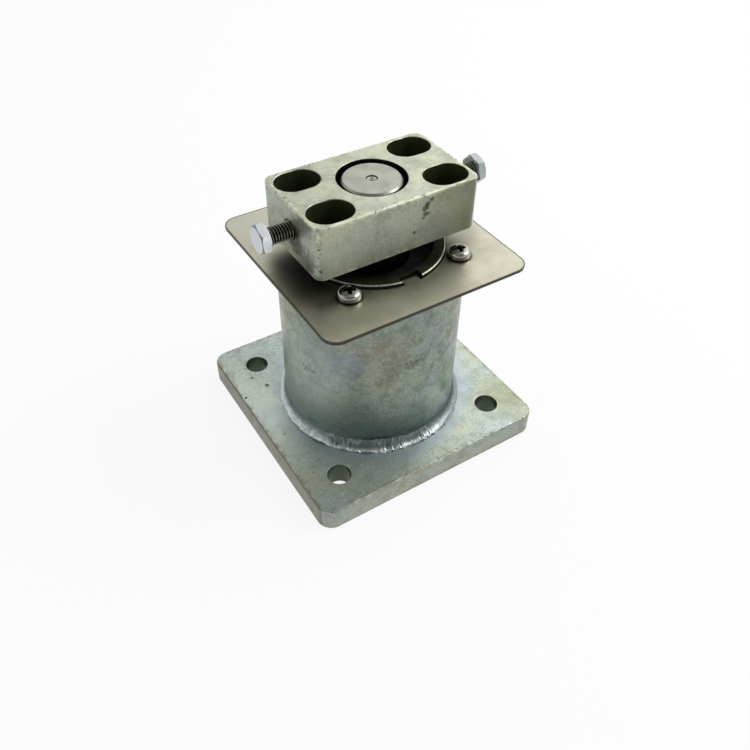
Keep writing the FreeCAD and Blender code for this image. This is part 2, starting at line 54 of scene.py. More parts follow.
def add(tree, kind, sockets=None, **settings):
    """Adds a node. A socket is linked where it is given another node's socket, and set otherwise."""
    node = tree.nodes.new(kind)
    for name, value in settings.items():
        setattr(node, name, value)
    for key, value in (sockets or {}).items():
        if isinstance(value, bpy.types.NodeSocket):
            tree.links.new(value, node.inputs[key])
        else:
            node.inputs[key].default_value = value
    return node


def maths(tree, operation, *values):
    """One sum on numbers or sockets."""
    return add(tree, "ShaderNodeMath", dict(enumerate(values)), operation=operation).outputs[0]


def times(tree, one, other):
    """The product of two numbers or sockets."""
    return maths(tree, "MULTIPLY", one, other)


def vectors(tree, operation, *values):
    """One sum on directions. LENGTH and DOT_PRODUCT give a number, the rest a direction."""
    node = add(tree, "ShaderNodeVectorMath", dict(enumerate(values)), operation=operation)
    return node.outputs["Value" if operation in ("LENGTH", "DOT_PRODUCT") else "Vector"]


def split(tree, place):
    """The x, y and z of a place."""
    return add(tree, "ShaderNodeSeparateXYZ", {0: place}).outputs


def join(tree, x=0.0, y=0.0, z=0.0):
    """A place or direction made of x, y and z."""
    return add(tree, "ShaderNodeCombineXYZ", {0: x, 1: y, 2: z}).outputs[0]


def level(tree, value, low, high, out_low=0.0, out_high=1.0):
    """Brings a value from low..high to out_low..out_high, with soft ends."""
    sockets = {"Value": value, "From Min": low, "From Max": high, "To Min": out_low, "To Max": out_high}
    return add(tree, "ShaderNodeMapRange", sockets, interpolation_type="SMOOTHSTEP").outputs["Result"]


def tint(tree, amount, under, over):
    """Lays one colour over another."""
    return add(tree, "ShaderNodeMix", {0: amount, 6: under, 7: over}, data_type="RGBA").outputs[2]


def shade(red, green, blue):
    """A screen colour, 0 to 255, in linear light."""
    linear = [((c / 255 + 0.055) / 1.055) ** 2.4 for c in (red, green, blue)]
    return (*linear, 1.0)


def grain(tree, place, size, stretch=(1, 1, 1), turn=0.0, detail=4.0, seed=0.0):
    """Noise with features of about size millimetres, stretched, and turned about Z in degrees."""
    sockets = {
        "Vector": place,
        "Location": (seed, seed * 0.7, seed * 1.3),
        "Rotation": (0, 0, math.radians(turn)),
        "Scale": [size * MM * s for s in stretch],
    }
    mapping = add(tree, "ShaderNodeMapping", sockets, vector_type="TEXTURE")
    noise = {"Vector": mapping.outputs[0], "Scale": 1.0, "Detail": detail, "Roughness": 0.6}
    return add(tree, "ShaderNodeTexNoise", noise).outputs["Fac"]


def start_finish(name, metallic):
    """A new finish on object coordinates. The piece fills in its colour, roughness and height."""
    material = bpy.data.materials.new(name)
    material.use_nodes = True
    tree = material.node_tree
    shader = tree.nodes["Principled BSDF"]
    shader.inputs["Metallic"].default_value = metallic
    place = add(tree, "ShaderNodeTexCoord").outputs["Object"]
    return SimpleNamespace(material=material, tree=tree, shader=shader, place=place)


def lay(coat, amount, colour):
    """Lays a colour over a finish, as far as amount says."""
    coat.colour = tint(coat.tree, amount, coat.colour, colour)


def close_finish(coat, relief):
    """Joins colour, roughness and height to the shader. Relief is the full depth in millimetres."""
    tree = coat.tree
    tree.links.new(coat.colour, coat.shader.inputs["Base Color"])
    tree.links.new(coat.rough, coat.shader.inputs["Roughness"])
    bump = add(tree, "ShaderNodeBump", {"Height": coat.height, "Distance": relief * MM, "Strength": 1.0})
    tree.links.new(bump.outputs[0], coat.shader.inputs["Normal"])
    return coat.material


def scratches(coat, seed, width=0.3, length=9.0, turns=(18, 71, 128)):
    """Thin straight scuffs in a few directions, 0 to 1."""
    tree = coat.tree
    lines = 0.0
    for step, turn in enumerate(turns):
        streak = grain(tree, coat.place, width, (length / width, 1, 1), turn, 1.0, seed + step)
        lines = maths(tree, "MAXIMUM", lines, level(tree, streak, 0.66, 0.76))
    return lines


def zinc_coat(name, bluish, olive, dull, seed):
    """Plated steel with bluish and olive clouds, dull patches, fine grain and scuffs."""
    coat = start_finish(name, 0.65)
    tree, place = coat.tree, coat.place
    cloud = grain(tree, place, 30, detail=4, seed=seed)
    patch = grain(tree, place, 6, detail=8, seed=seed + 3)
    smear = grain(tree, place, 13, detail=5, seed=seed + 4)
    speck = grain(tree, place, 1.1, detail=5, seed=seed + 5)
    scuffs = times(tree, scratches(coat, seed + 7), 0.4)
    coat.colour = tint(tree, level(tree, cloud, 0.34, 0.66), bluish, olive)
    lay(coat, level(tree, patch, 0.42, 0.7, 0.0, 0.5), dull)
    lay(coat, level(tree, smear, 0.56, 0.74, 0.0, 0.5), dull)
    lay(coat, level(tree, speck, 0.45, 0.7, 0.0, 0.6), dull)
    pale = tuple(min(1.0, c * 1.3) for c in olive[:3]) + (1.0,)
    lay(coat, scuffs, pale)
    rough = level(tree, patch, 0.3, 0.7, 0.34, 0.46)
    coat.rough = maths(tree, "SUBTRACT", rough, times(tree, speck, 0.08))
    coat.height = maths(tree, "SUBTRACT", speck, scuffs)
    return coat


def edge_gap(coat, node):
    """Distance in metres from a point on a boxy node to the nearest edge of its box."""
    tree = coat.tree
    low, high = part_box(node)
    along = split(tree, coat.place)
    gaps = []
    for axis in range(3):
        from_middle = maths(tree, "SUBTRACT", along[axis], (low[axis] + high[axis]) / 2)
        outside = maths(tree, "ABSOLUTE", from_middle)
        gaps.append(maths(tree, "SUBTRACT", (high[axis] - low[axis]) / 2, outside))
    inner = maths(tree, "MINIMUM", gaps[0], gaps[1])
    outer = maths(tree, "MAXIMUM", gaps[0], gaps[1])
    return maths(tree, "MAXIMUM", inner, maths(tree, "MINIMUM", outer, gaps[2]))


def from_axis(coat):
    """Distance in metres from the turning axis."""
    flat = vectors(coat.tree, "MULTIPLY", coat.place, (1, 1, 0))
    return vectors(coat.tree, "LENGTH", flat)


def dress(finish, *nodes):
    """Puts a finish on CAD nodes that keep their own shape."""
    for node in nodes:
        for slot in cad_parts[node].material_slots:
            slot.material = finish


def worn_edges(coat, node, colour, width, amount):
    """Rubs the coat to another colour along the edges of a boxy node, unevenly."""
    tree = coat.tree
    wander = grain(tree, coat.place, 3.5, detail=2, seed=41)
    wander = level(tree, wander, 0.3, 0.7, -width * MM, width * MM)
    gap = maths(tree, "ADD", edge_gap(coat, node), wander)
    lay(coat, level(tree, gap, 0.0, 2.0 * width * MM, amount, 0.0), colour)


def blotch(coat, colour, amount, centre, radii, ragged, inner, seed):
    """A stain round a point, in millimetres, with a ragged edge that starts to fade at inner."""
    tree = coat.tree
    spot = {"Vector": coat.place, "Location": [c * MM for c in centre], "Scale": [r * MM for r in radii]}
    near = add(tree, "ShaderNodeMapping", spot, vector_type="TEXTURE").outputs[0]
    frayed = level(tree, grain(tree, coat.place, 2.0, detail=6, seed=seed), 0.3, 0.7, -ragged, ragged)
    reach = maths(tree, "ADD", vectors(tree, "LENGTH", near), frayed)
    lay(coat, level(tree, reach, inner, 1.0, amount, 0.0), colour)


def near_corners(coat, offset):
    """Distance in metres, seen from above, to the nearest of four points at plus and minus offset."""
    tree = coat.tree
    away = vectors(tree, "ABSOLUTE", coat.place)
    near = vectors(tree, "SUBTRACT", away, (offset, offset, 0.0))
    return vectors(tree, "LENGTH", vectors(tree, "MULTIPLY", near, (1, 1, 0)))


PLATE_BLUISH = shade(190, 203, 200)
PLATE_OLIVE = shade(197, 203, 182)
PLATE_DULL = shade(134, 144, 132)
HEATED_BLUE = shade(172, 188, 200)
RUBBED_PALE = shade(222, 232, 224)
CORNER_OLIVE = shade(158, 163, 124)
TOE_SHADE = shade(58, 66, 64)
PIT_DARK = shade(50, 52, 44)
EDGE_BROWN = shade(128, 120, 98)
SIDE_GREY = shade(112, 118, 104)
SIDE_BROWN = shade(104, 97, 78)
HOLE_SHADE = shade(73, 86, 66)
HEAT_REACH = (46.0 * MM, 56.0 * MM)
TOE_REACH = (46.3 * MM, 46.8 * MM)
TOE_WANDER = 0.5 * MM
TOE_FRONT = (15.0 * MM, 40.0 * MM)
WELD_START = (-0.45, -0.89, 0.0)
PLATE_SPOTS = ((-44.9, 26.0, 1.3), (-49.2, 34.6, 0.8), (-58.0, 23.3, 1.0))
CHIP_REACH = (0.5 * MM, 4.0 * MM)
SIDE_TOP = (10.7 * MM, 11.2 * MM)
LEFT_SIDE = (-59.6 * MM, -59.2 * MM)
ANCHOR_OFFSET = 42.5 * MM
ANCHOR_REACH = 5.6 * MM


def plate_finish():
    """Zinc with heat round the weld, a painted toe shadow, pits, rubbed and rusty edges, and painted shade
    in the holes.
    """
    coat = zinc_coat("floor_plate_zinc", PLATE_BLUISH, PLATE_OLIVE, PLATE_DULL, seed=1.0)
    tree, place = coat.tree, coat.place
    x, _, z = split(tree, place)
    lay(coat, level(tree, from_axis(coat), *HEAT_REACH, 0.6, 0.0), HEATED_BLUE)
    spot = (-54.0, 6.0, 12.0)
    blotch(coat, RUBBED_PALE, 0.5, spot, (14.0, 48.0, 6.0), ragged=0.2, inner=0.4, seed=19.0)
    spot = (55.0, -42.0, 12.0)
    blotch(coat, CORNER_OLIVE, 0.5, spot, (17.0, 24.0, 6.0), ragged=0.3, inner=0.4, seed=20.0)
    # Painted shadow: a thin dark line on the plate along the weld's toe, strongest in front.
    wander = level(tree, grain(tree, place, 5, detail=4, seed=16.0), 0.3, 0.7, -TOE_WANDER, TOE_WANDER)
    toe = level(tree, maths(tree, "ADD", from_axis(coat), wander), *TOE_REACH, 0.6, 0.0)
    in_front = level(tree, vectors(tree, "DOT_PRODUCT", place, WELD_START), *TOE_FRONT, 0.1, 1.0)
    lay(coat, times(tree, toe, in_front), TOE_SHADE)
    for across, back, width in PLATE_SPOTS:
        spot = (across, back, 12.0)
        blotch(coat, PIT_DARK, 0.8, spot, (width, width, 2.0), ragged=0.3, inner=0.6, seed=18.0)
    pits = level(tree, grain(tree, place, 2.2, detail=2, seed=12.0), 0.70, 0.76)
    near_edge = level(tree, edge_gap(coat, "base_plate"), *CHIP_REACH, 1.0, 0.0)
    chips = level(tree, grain(tree, place, 1.5, detail=4, seed=14.0), 0.58, 0.66)
    pits = maths(tree, "MAXIMUM", pits, times(tree, chips, near_edge))
    lay(coat, times(tree, pits, 0.7), PIT_DARK)
    coat.height = maths(tree, "SUBTRACT", coat.height, pits)
    worn_edges(coat, "base_plate", EDGE_BROWN, width=0.9, amount=0.6)
    lay(coat, level(tree, z, *SIDE_TOP, 0.5, 0.0), SIDE_GREY)
    lay(coat, level(tree, x, *LEFT_SIDE, 0.8, 0.0), SIDE_BROWN)
    # Painted shade: the walls of the anchor holes are dark olive.
    hole_wall = maths(tree, "LESS_THAN", near_corners(coat, ANCHOR_OFFSET), ANCHOR_REACH)
    lay(coat, hole_wall, HOLE_SHADE)
    return close_finish(coat, relief=0.05)


dress(plate_finish(), "base_plate")

# Seat, bearings and spacer inside the tube
# Ground bearing steel: a taper roller bearing low down takes the weight, a ball bearing above guides.
# They are pressed on the spindle and into the tube, with a plain turned spacer between them.


def turned_steel(name, colour, rough, line=0.35, metallic=1.0, tone=0.25):
    """Steel as it leaves the lathe: fine rings round the axis in colour and relief, under a thin haze."""
    coat = start_finish(name, metallic)
    tree = coat.tree
    across = join(tree, from_axis(coat), 0.0, split(tree, coat.place)[2])
    rings = grain(tree, across, line, detail=3, seed=2.0)
    haze = grain(tree, coat.place, 7, detail=4, seed=6.0)
    darker = tuple(c * 0.55 for c in colour[:3]) + (1.0,)
    coat.colour = tint(tree, level(tree, rings, 0.35, 0.7, 0.0, tone), colour, darker)
    lay(coat, level(tree, haze, 0.45, 0.75, 0.0, 0.3), darker)
    coat.rough = level(tree, haze, 0.3, 0.7, rough * 0.8, rough * 1.25)
    coat.height = rings
    return coat


BEARING_STEEL = shade(198, 200, 200)
SEAT_STEEL = shade(132, 134, 132)
CAGE_BRASS = shade(186, 152, 88)
CAGE_STEEL = shade(150, 150, 146)

ground = turned_steel("ground_bearing_steel", BEARING_STEEL, rough=0.16, line=0.12)
dress(
    close_finish(ground, relief=0.004),
    "upper_bearing_outer_ring",
    "upper_bearing_inner_ring",
    "upper_bearing_balls",
    "lower_bearing_cup",
    "lower_bearing_cone",
    "lower_bearing_rollers",
)
brass = turned_steel("pressed_brass_cage", CAGE_BRASS, rough=0.3)
dress(close_finish(brass, relief=0.01), "upper_bearing_cage")
pressed = turned_steel("pressed_steel_cage", CAGE_STEEL, rough=0.32)
dress(close_finish(pressed, relief=0.01), "lower_bearing_cage")
plain = turned_steel("turned_spacer_steel", SEAT_STEEL, rough=0.35)
dress(close_finish(plain, relief=0.02), "bearing_seat", "bearing_spacer")

# Tube
# A thick steel tube, turned outside and bored for the bearings, welded to the plate and plated with it.
# The lathe's fine rings still show, under cloudy zinc that is darker and bluer towards the weld.

TUBE_BLUISH = shade(140, 153, 148)
TUBE_OLIVE = shade(148, 156, 138)
TUBE_DULL = shade(78, 87, 78)
TUBE_FOOT = shade(70, 88, 88)
TUBE_PALE = shade(176, 188, 180)
SMUDGE_DARK = shade(40, 50, 46)
RUBBED_BROWN = shade(128, 116, 94)
RUBBED_VIOLET = shade(136, 143, 164)
FOOT_HEIGHTS = (14.0 * MM, 46.0 * MM)
SMUDGE_HEIGHTS = (14.0 * MM, 28.0 * MM)
PALE_ACROSS = (-40.0 * MM, -18.0 * MM)
PALE_HEIGHTS = (55.0 * MM, 80.0 * MM)
TUBE_SMUDGES = (
    ((17.5, -38.2, 68.0), (3.0, 3.0, 7.0)),
    ((11.5, -40.4, 60.0), (3.2, 3.0, 6.0)),
    ((6.5, -41.5, 54.0), (2.6, 3.0, 3.5)),
    ((-40.0, -12.7, 53.6), (4.0, 5.0, 3.0)),
    ((-4.7, -41.7, 62.0), (7.0, 4.0, 4.0)),
)


def tube_finish():
    """Zinc over fine lathe rings, dark towards the foot, with rubbed places and smudges."""
    coat = zinc_coat("tube_zinc", TUBE_BLUISH, TUBE_OLIVE, TUBE_DULL, seed=21.0)
    tree, place = coat.tree, coat.place
    x, _, z = split(tree, place)
    rings = grain(tree, place, 0.45, (130, 130, 1), detail=3, seed=23.0)
    lay(coat, level(tree, rings, 0.45, 0.75, 0.0, 0.28), TUBE_DULL)
    lay(coat, level(tree, z, *FOOT_HEIGHTS, 0.65, 0.0), TUBE_FOOT)
    to_left = level(tree, x, *PALE_ACROSS, 0.3, 0.0)
    lay(coat, times(tree, to_left, level(tree, z, *PALE_HEIGHTS, 1.0, 0.0)), TUBE_PALE)
    smudges = level(tree, grain(tree, place, 2.5, (4, 4, 1), detail=5, seed=27.0), 0.52, 0.66)
    low_down = level(tree, z, *SMUDGE_HEIGHTS, 0.8, 0.0)
    lay(coat, times(tree, smudges, low_down), SMUDGE_DARK)
    spot = (-16.0, -38.5, 72.0)
    blotch(coat, RUBBED_BROWN, 0.45, spot, (20.0, 16.0, 11.0), ragged=0.7, inner=0.1, seed=28.0)
    spot = (-31.5, -28.0, 64.0)
    blotch(coat, RUBBED_VIOLET, 0.5, spot, (11.0, 11.0, 9.0), ragged=0.6, inner=0.1, seed=29.0)
    for centre, radii in TUBE_SMUDGES:
        blotch(coat, SMUDGE_DARK, 0.5, centre, radii, ragged=0.8, inner=0.0, seed=26.0)
    coat.height = maths(tree, "ADD", coat.height, rings)
    return close_finish(coat, relief=0.03)


dress(tube_finish(), "housing_tube")

# Weld
# One fillet run round the foot of the tube, laid by hand in overlapping pools about 3.5 mm apart.
# The toe wanders, a few drops of spatter stay on the plate, and the plating leaves it bright and bluish.

WELD_PALE = shade(206, 214, 217)
WELD_SHADE = shade(74, 84, 88)
WELD_RIGHT_SHADE = shade(138, 150, 148)
WELD_GLINT = shade(246, 249, 250)
SHADE_AND_DULL_ACROSS = (-4.0 * MM, 30.0 * MM)


def size_tree(name, **sizes):
    """A Geometry Nodes tree with one named input for each size. Returns it and its inputs."""
    tree = bpy.data.node_groups.new(name, "GeometryNodeTree")
    tree.interface.new_socket("Geometry", in_out="OUTPUT", socket_type="NodeSocketGeometry")
    for size, value in sizes.items():
        kind = "NodeSocketInt" if isinstance(value, int) else "NodeSocketFloat"
        tree.interface.new_socket(size, in_out="INPUT", socket_type=kind).default_value = value
    return tree, add(tree, "NodeGroupInput").outputs


def close_tree(tree, shape, finish, crease):
    """Ends a tree that works in millimetres: metres, smooth with sharp creases, plain mesh, one finish."""
    metres = add(tree, "GeometryNodeTransform", {"Geometry": shape, "Scale": (MM, MM, MM)}).outputs[0]
    smooth = add(tree, "GeometryNodeSetShadeSmooth", {"Geometry": metres, "Shade Smooth": True})
    angle = add(tree, "GeometryNodeInputMeshEdgeAngle").outputs["Unsigned Angle"]
    sharp = maths(tree, "GREATER_THAN", angle, math.radians(crease))
    edges = {"Geometry": smooth.outputs[0], "Selection": sharp, "Shade Smooth": False}
    creased = add(tree, "GeometryNodeSetShadeSmooth", edges, domain="EDGE")
    plain_mesh = add(tree, "GeometryNodeRealizeInstances", {"Geometry": creased.outputs[0]})
    dressed = add(tree, "GeometryNodeSetMaterial", {"Geometry": plain_mesh.outputs[0], "Material": finish})
    add(tree, "NodeGroupOutput", {"Geometry": dressed.outputs[0]})


def grow(name, tree, body, slot, replaced, **sizes):
    """Runs a tree and keeps its result as a plain mesh that rides on a body and stands for a CAD node."""
    piece = bpy.data.objects.new(name, bpy.data.meshes.new(name + "_start"))
    bpy.context.scene.collection.objects.link(piece)
    modifier = piece.modifiers.new("grow", "NODES")
    modifier.node_group = tree
    for item in tree.interface.items_tree:
        if item.name in sizes:
            modifier[item.identifier] = sizes[item.name]
    evaluated = piece.evaluated_get(bpy.context.evaluated_depsgraph_get())
    mesh = bpy.data.meshes.new_from_object(evaluated)
    piece.modifiers.remove(modifier)
    piece.data = mesh
    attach(piece, body)
    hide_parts(replaced)
    return piece


def grid(tree, columns, rows):
    """A flat grid and its two counts as fields: how far round (0 to 1) and which row (0, 1, 2...)."""
    sockets = {"Size X": 1.0, "Size Y": 1.0, "Vertices X": columns, "Vertices Y": rows}
    sheet = add(tree, "GeometryNodeMeshGrid", sockets).outputs["Mesh"]
    x, y, _ = split(tree, add(tree, "GeometryNodeInputPosition").outputs[0])
    round_it = maths(tree, "ADD", x, 0.5)
    last_row = maths(tree, "SUBTRACT", rows, 1)
    row = maths(tree, "ROUND", times(tree, maths(tree, "ADD", y, 0.5), last_row))
    return sheet, round_it, row


def ring_spot(tree, angle, radius, height):
    """The place at an angle, a radius and a height."""
    x = times(tree, radius, maths(tree, "COSINE", angle))
    y = times(tree, radius, maths(tree, "SINE", angle))
    return join(tree, x, y, height)


def wrap(tree, sheet, angle, radius, height):
    """Bends a grid round the Z axis and closes its seam and its poles."""
    spot = ring_spot(tree, angle, radius, height)
    bent = add(tree, "GeometryNodeSetPosition", {"Geometry": sheet, "Position": spot}).outputs[0]
    return add(tree, "GeometryNodeMergeByDistance", {"Geometry": bent, "Distance": 0.001}).outputs[0]


def store(tree, shape, name, value, domain="POINT"):
    """Keeps a number on the points or faces of a shape, for its finish to read."""
    sockets = {"Geometry": shape, "Name": name, "Value": value}
    kept = add(tree, "GeometryNodeStoreNamedAttribute", sockets, data_type="FLOAT", domain=domain)
    return kept.outputs[0]


def stored(tree, name):
    """A number that store has kept."""
    return add(tree, "ShaderNodeAttribute", attribute_name=name).outputs["Fac"]


def draw(tree, low, high, seed):
    """A seeded random number for each point."""
    sockets = {2: low, 3: high, "Seed": seed}
    return add(tree, "FunctionNodeRandomValue", sockets, data_type="FLOAT").outputs[1]


def weld_finish():
    """Bright plated weld with painted shade on its upper face, in front and in the hollows between pools,
    painted glints, and painted shade to the right.
    """
    coat = start_finish("weld_zinc", metallic=0.8)
    tree = coat.tree
    fleck = grain(tree, coat.place, 1.3, detail=6, seed=51.0)
    # Painted shade: dark on the upper face, along the darker front stretch and in the hollows between
    # pools.
    hollow = stored(tree, "hollow")
    upper = stored(tree, "upper")
    ragged = maths(tree, "ADD", upper, level(tree, fleck, 0.3, 0.7, -0.12, 0.12))
    hollow_shade = level(tree, fleck, 0.3, 0.65, 0.55, 1.0)
    hollow_shade = times(tree, level(tree, hollow, 0.15, 0.8), hollow_shade)
    dark = maths(tree, "MAXIMUM", hollow_shade, level(tree, ragged, 0.0, 0.7, 0.0, 0.85))
    # Painted shade: the colour turns darker towards the right, where the weld is also rougher.
    to_right = split(tree, coat.place)[0]
    colour = tint(tree, level(tree, to_right, *SHADE_AND_DULL_ACROSS, 0.0, 0.92), WELD_PALE, WELD_RIGHT_SHADE)
    colour = tint(tree, dark, colour, WELD_SHADE)
    # Painted glints on the pool ridges and along the toe, mostly on the left.
    glint = stored(tree, "glint")
    glint = times(tree, glint, level(tree, fleck, 0.32, 0.6, 0.2, 1.0))
    coat.colour = tint(tree, glint, colour, WELD_GLINT)
    polish = level(tree, to_right, *SHADE_AND_DULL_ACROSS, 0.3, 0.58)
    coat.rough = maths(tree, "ADD", polish, level(tree, fleck, 0.3, 0.7, 0.0, 0.12))
    coat.height = fleck
    return close_finish(coat, relief=0.05)


def weld_tree(finish):
    """A fillet swept round the tube, raised into overlapping crescent pools, with spatter beside it."""
    tree, sizes = size_tree(
        "weld_run",
        tube_radius=42.0,
        plate_level=12.0,
        leg_out=4.7,
        leg_up=5.2,
        toe_height=1.5,
        bite=0.15,
        pool_count=82.0,
        pool_bow=1.2,
        restart_angle=4.25,
        columns=1471,
        rows=27,
        drops=26,
    )
    sheet, round_it, row = grid(tree, sizes["columns"], sizes["rows"])
    corner_row = maths(tree, "SUBTRACT", sizes["rows"], 2)
    face_rows = maths(tree, "SUBTRACT", sizes["rows"], 3)
    at_corner = maths(tree, "COMPARE", row, corner_row, 0.25)
    on_face = maths(tree, "LESS_THAN", row, maths(tree, "SUBTRACT", corner_row, 0.5))
    down = times(tree, on_face, maths(tree, "DIVIDE", row, face_rows))
    slope = times(tree, down, math.pi / 2)
    angle = times(tree, round_it, 2 * math.pi)

    def drift(fineness, low, high, seed):
        """Slow noise round the ring that meets itself, brought to low..high."""
        noise = {"Vector": ring_spot(tree, angle, 1.0, float(seed)), "Scale": fineness, "Detail": 2.0}
        fac = add(tree, "ShaderNodeTexNoise", noise).outputs["Fac"]
        return level(tree, fac, 0.3, 0.7, low, high)

    middle = maths(tree, "SUBTRACT", times(tree, down, 2.0), 0.9)
    bowed = times(tree, times(tree, middle, middle), sizes["pool_bow"])
    count = times(tree, round_it, sizes["pool_count"])
    pool = maths(tree, "ADD", maths(tree, "SUBTRACT", count, bowed), drift(9.0, -1.6, 1.6, 3))
    wrapped = maths(tree, "FLOORED_MODULO", pool, sizes["pool_count"])
    within = maths(tree, "FRACT", wrapped)
    number = maths(tree, "FLOOR", wrapped)
    chance = add(tree, "ShaderNodeTexWhiteNoise", {"W": number}, noise_dimensions="1D").outputs["Value"]
    lap = maths(tree, "SUBTRACT", 1.0, maths(tree, "POWER", within, 6.0))
    crest = times(tree, within, lap)
    restart = maths(tree, "COSINE", maths(tree, "SUBTRACT", angle, sizes["restart_angle"]))
    strength = level(tree, restart, 0.7, 0.93, 0.4, 1.0)
    strength = times(tree, strength, level(tree, chance, 0.0, 0.9))
    ripple_height = 0.2
    ripple = times(tree, times(tree, crest, strength), ripple_height)
    out_share = maths(tree, "SINE", slope)
    low_down = maths(tree, "POWER", out_share, 3.0)
    lump_height = 0.11
    bulge = times(tree, level(tree, chance, 0.2, 1.0, 0.0, lump_height), crest)
    lump = times(tree, low_down, bulge)
    raised = maths(tree, "ADD", maths(tree, "ADD", ripple, lump), drift(5.0, -0.12, 0.05, 8))
    thinner = level(tree, restart, 0.0, 0.8, 0.8, 1.0)
    plain_size = 0.9
    scale = times(tree, maths(tree, "ADD", raised, plain_size), thinner)
    swell = times(tree, scale, maths(tree, "SUBTRACT", 1.0, at_corner))

    hollow_share = maths(tree, "POWER", maths(tree, "SUBTRACT", 1.0, out_share), 2.2)
    above_toe = maths(tree, "SUBTRACT", sizes["leg_up"], sizes["toe_height"])
    roll = maths(tree, "SQRT", maths(tree, "SUBTRACT", 1.0, maths(tree, "POWER", out_share, 7.0)))
    face_up = times(tree, above_toe, hollow_share)
    face_up = maths(tree, "ADD", face_up, times(tree, sizes["toe_height"], roll))
    toe_tuck = 0.07
    tuck = times(tree, maths(tree, "POWER", out_share, 24.0), toe_tuck)
    face_out = times(tree, sizes["leg_out"], maths(tree, "SUBTRACT", out_share, tuck))

    def leg(foot, length):
        """How far the bead reaches along one leg, from a little inside the other steel."""
        reach = maths(tree, "SUBTRACT", times(tree, length, swell), sizes["bite"])
        return maths(tree, "ADD", foot, reach)

    radius = leg(sizes["tube_radius"], face_out)
    height = leg(sizes["plate_level"], face_up)
    # Kept for the finish: the hollows, the painted shade on the upper face and in front, and the painted
    # glints.
    sunk = times(tree, maths(tree, "SUBTRACT", 1.0, crest), strength)
    above = maths(tree, "SUBTRACT", 1.0, maths(tree, "POWER", out_share, 6.0))
    front_shade = times(tree, level(tree, restart, 0.75, 0.95, 0.0, 0.45), above)
    upper = maths(tree, "ADD", hollow_share, front_shade)
    ridge = times(tree, maths(tree, "POWER", crest, 3.0), strength)
    left_part = level(tree, maths(tree, "COSINE", angle), 0.0, 0.6, 1.0, 0.1)
    toe_light = times(tree, level(tree, out_share, 0.7, 0.9), drift(12.0, 0.2, 1.0, 12))
    glint = times(tree, maths(tree, "MAXIMUM", ridge, toe_light), left_part)
    for mark, value in (("hollow", sunk), ("upper", upper), ("glint", glint)):
        sheet = store(tree, sheet, mark, value)
    bead = add(tree, "GeometryNodeFlipFaces", {"Mesh": wrap(tree, sheet, angle, radius, height)})

    drop_radius = 0.45
    spatter_from = 48.0
    spatter_to = 57.0
    swing = draw(tree, 0.0, 2 * math.pi, 5)
    landed = ring_spot(tree, swing, draw(tree, spatter_from, spatter_to, 9), sizes["plate_level"])
    points = add(tree, "GeometryNodePoints", {"Count": sizes["drops"], "Position": landed}).outputs[0]
    drop = {"Radius": drop_radius, "Subdivisions": 2}
    ball = add(tree, "GeometryNodeMeshIcoSphere", drop).outputs["Mesh"]
    spots = {"Points": points, "Instance": ball, "Scale": draw(tree, 0.25, 1.0, 13)}
    spatter = add(tree, "GeometryNodeInstanceOnPoints", spots).outputs[0]
    both = add(tree, "GeometryNodeJoinGeometry")
    tree.links.new(bead.outputs[0], both.inputs[0])
    tree.links.new(spatter, both.inputs[0])
    close_tree(tree, both.outputs[0], finish, crease=80.0)
    return tree


grow("weld_run", weld_tree(weld_finish()), "housing", "weld_steel", "base_weld")

# Spindle, key and snap ring
# The spindle is turned from one bar, stepped for the bearings, with a centre drill left in its top face.
# A square key drives the door block, and a snap ring in a groove keeps the block from lifting.

SPINDLE_GREY = shade(160, 163, 150)
DRILL_HIGHLIGHT = shade(226, 228, 216)
SHADE_BLACK = shade(20, 20, 15)
SNAP_DARK = shade(30, 30, 27)
SHADED_HEIGHTS = (130.5 * MM, 130.9 * MM)
DRILL_HEIGHTS = (131.3 * MM, 131.4 * MM)
DRILL_REACH = 3.0 * MM
DRILL_RIM = 2.5 * MM
DRILL_RIM_HALF = 0.25 * MM
DRILL_PILOT = 1.3 * MM


def spindle_finish():
    """Turned steel, painted black as shade below its top face, with a painted highlight on the centre
    drill's cone and painted shade in its pilot and along its rim.
    """
    coat = turned_steel("turned_spindle_steel", SPINDLE_GREY, rough=0.36, line=0.3, metallic=0.85, tone=0.2)
    tree = coat.tree
    reach = from_axis(coat)
    z = split(tree, coat.place)[2]
    # Painted shade: black on the spindle below its top face, where it sits in the block's bore.
    outside = maths(tree, "GREATER_THAN", reach, DRILL_REACH)
    shaded_below = level(tree, z, *SHADED_HEIGHTS, 0.92, 0.0)
    lay(coat, times(tree, shaded_below, outside), SHADE_BLACK)
    # Painted highlight on the centre drill's cone, with painted shade in the pilot hole and along the rim.
    pilot = maths(tree, "LESS_THAN", reach, DRILL_PILOT)
    rim = maths(tree, "COMPARE", reach, DRILL_RIM, DRILL_RIM_HALF)
    drill_colour = tint(tree, maths(tree, "MAXIMUM", pilot, rim), DRILL_HIGHLIGHT, SHADE_BLACK)
    inside = maths(tree, "LESS_THAN", reach, DRILL_REACH)
    drilled = level(tree, z, *DRILL_HEIGHTS, 1.0, 0.0)
    lay(coat, times(tree, drilled, inside), drill_colour)
    return close_finish(coat, relief=0.012)


dress(spindle_finish(), "spindle")
sprung = turned_steel("blackened_spring_steel", SNAP_DARK, rough=0.38)
dress(close_finish(sprung, relief=0.01), "snap_ring", "drive_key", "seal_spring")

# Shaft seal and lock ring
# A black rubber lip seal keeps dirt out of the bearings, with a coil spring behind its lip.
# The lock ring above it is turned steel, screwed down into the tube and notched for a hook spanner.

RUBBER_BLACK = shade(12, 12, 11)
RUBBER_DUST = shade(26, 26, 24)
RING_SHADE = shade(56, 60, 43)
LIP_HIGHLIGHT = shade(226, 226, 208)
LIP_REACH = (32.0 * MM, 32.4 * MM)
LIP_HEIGHTS = (100.1 * MM, 100.6 * MM)


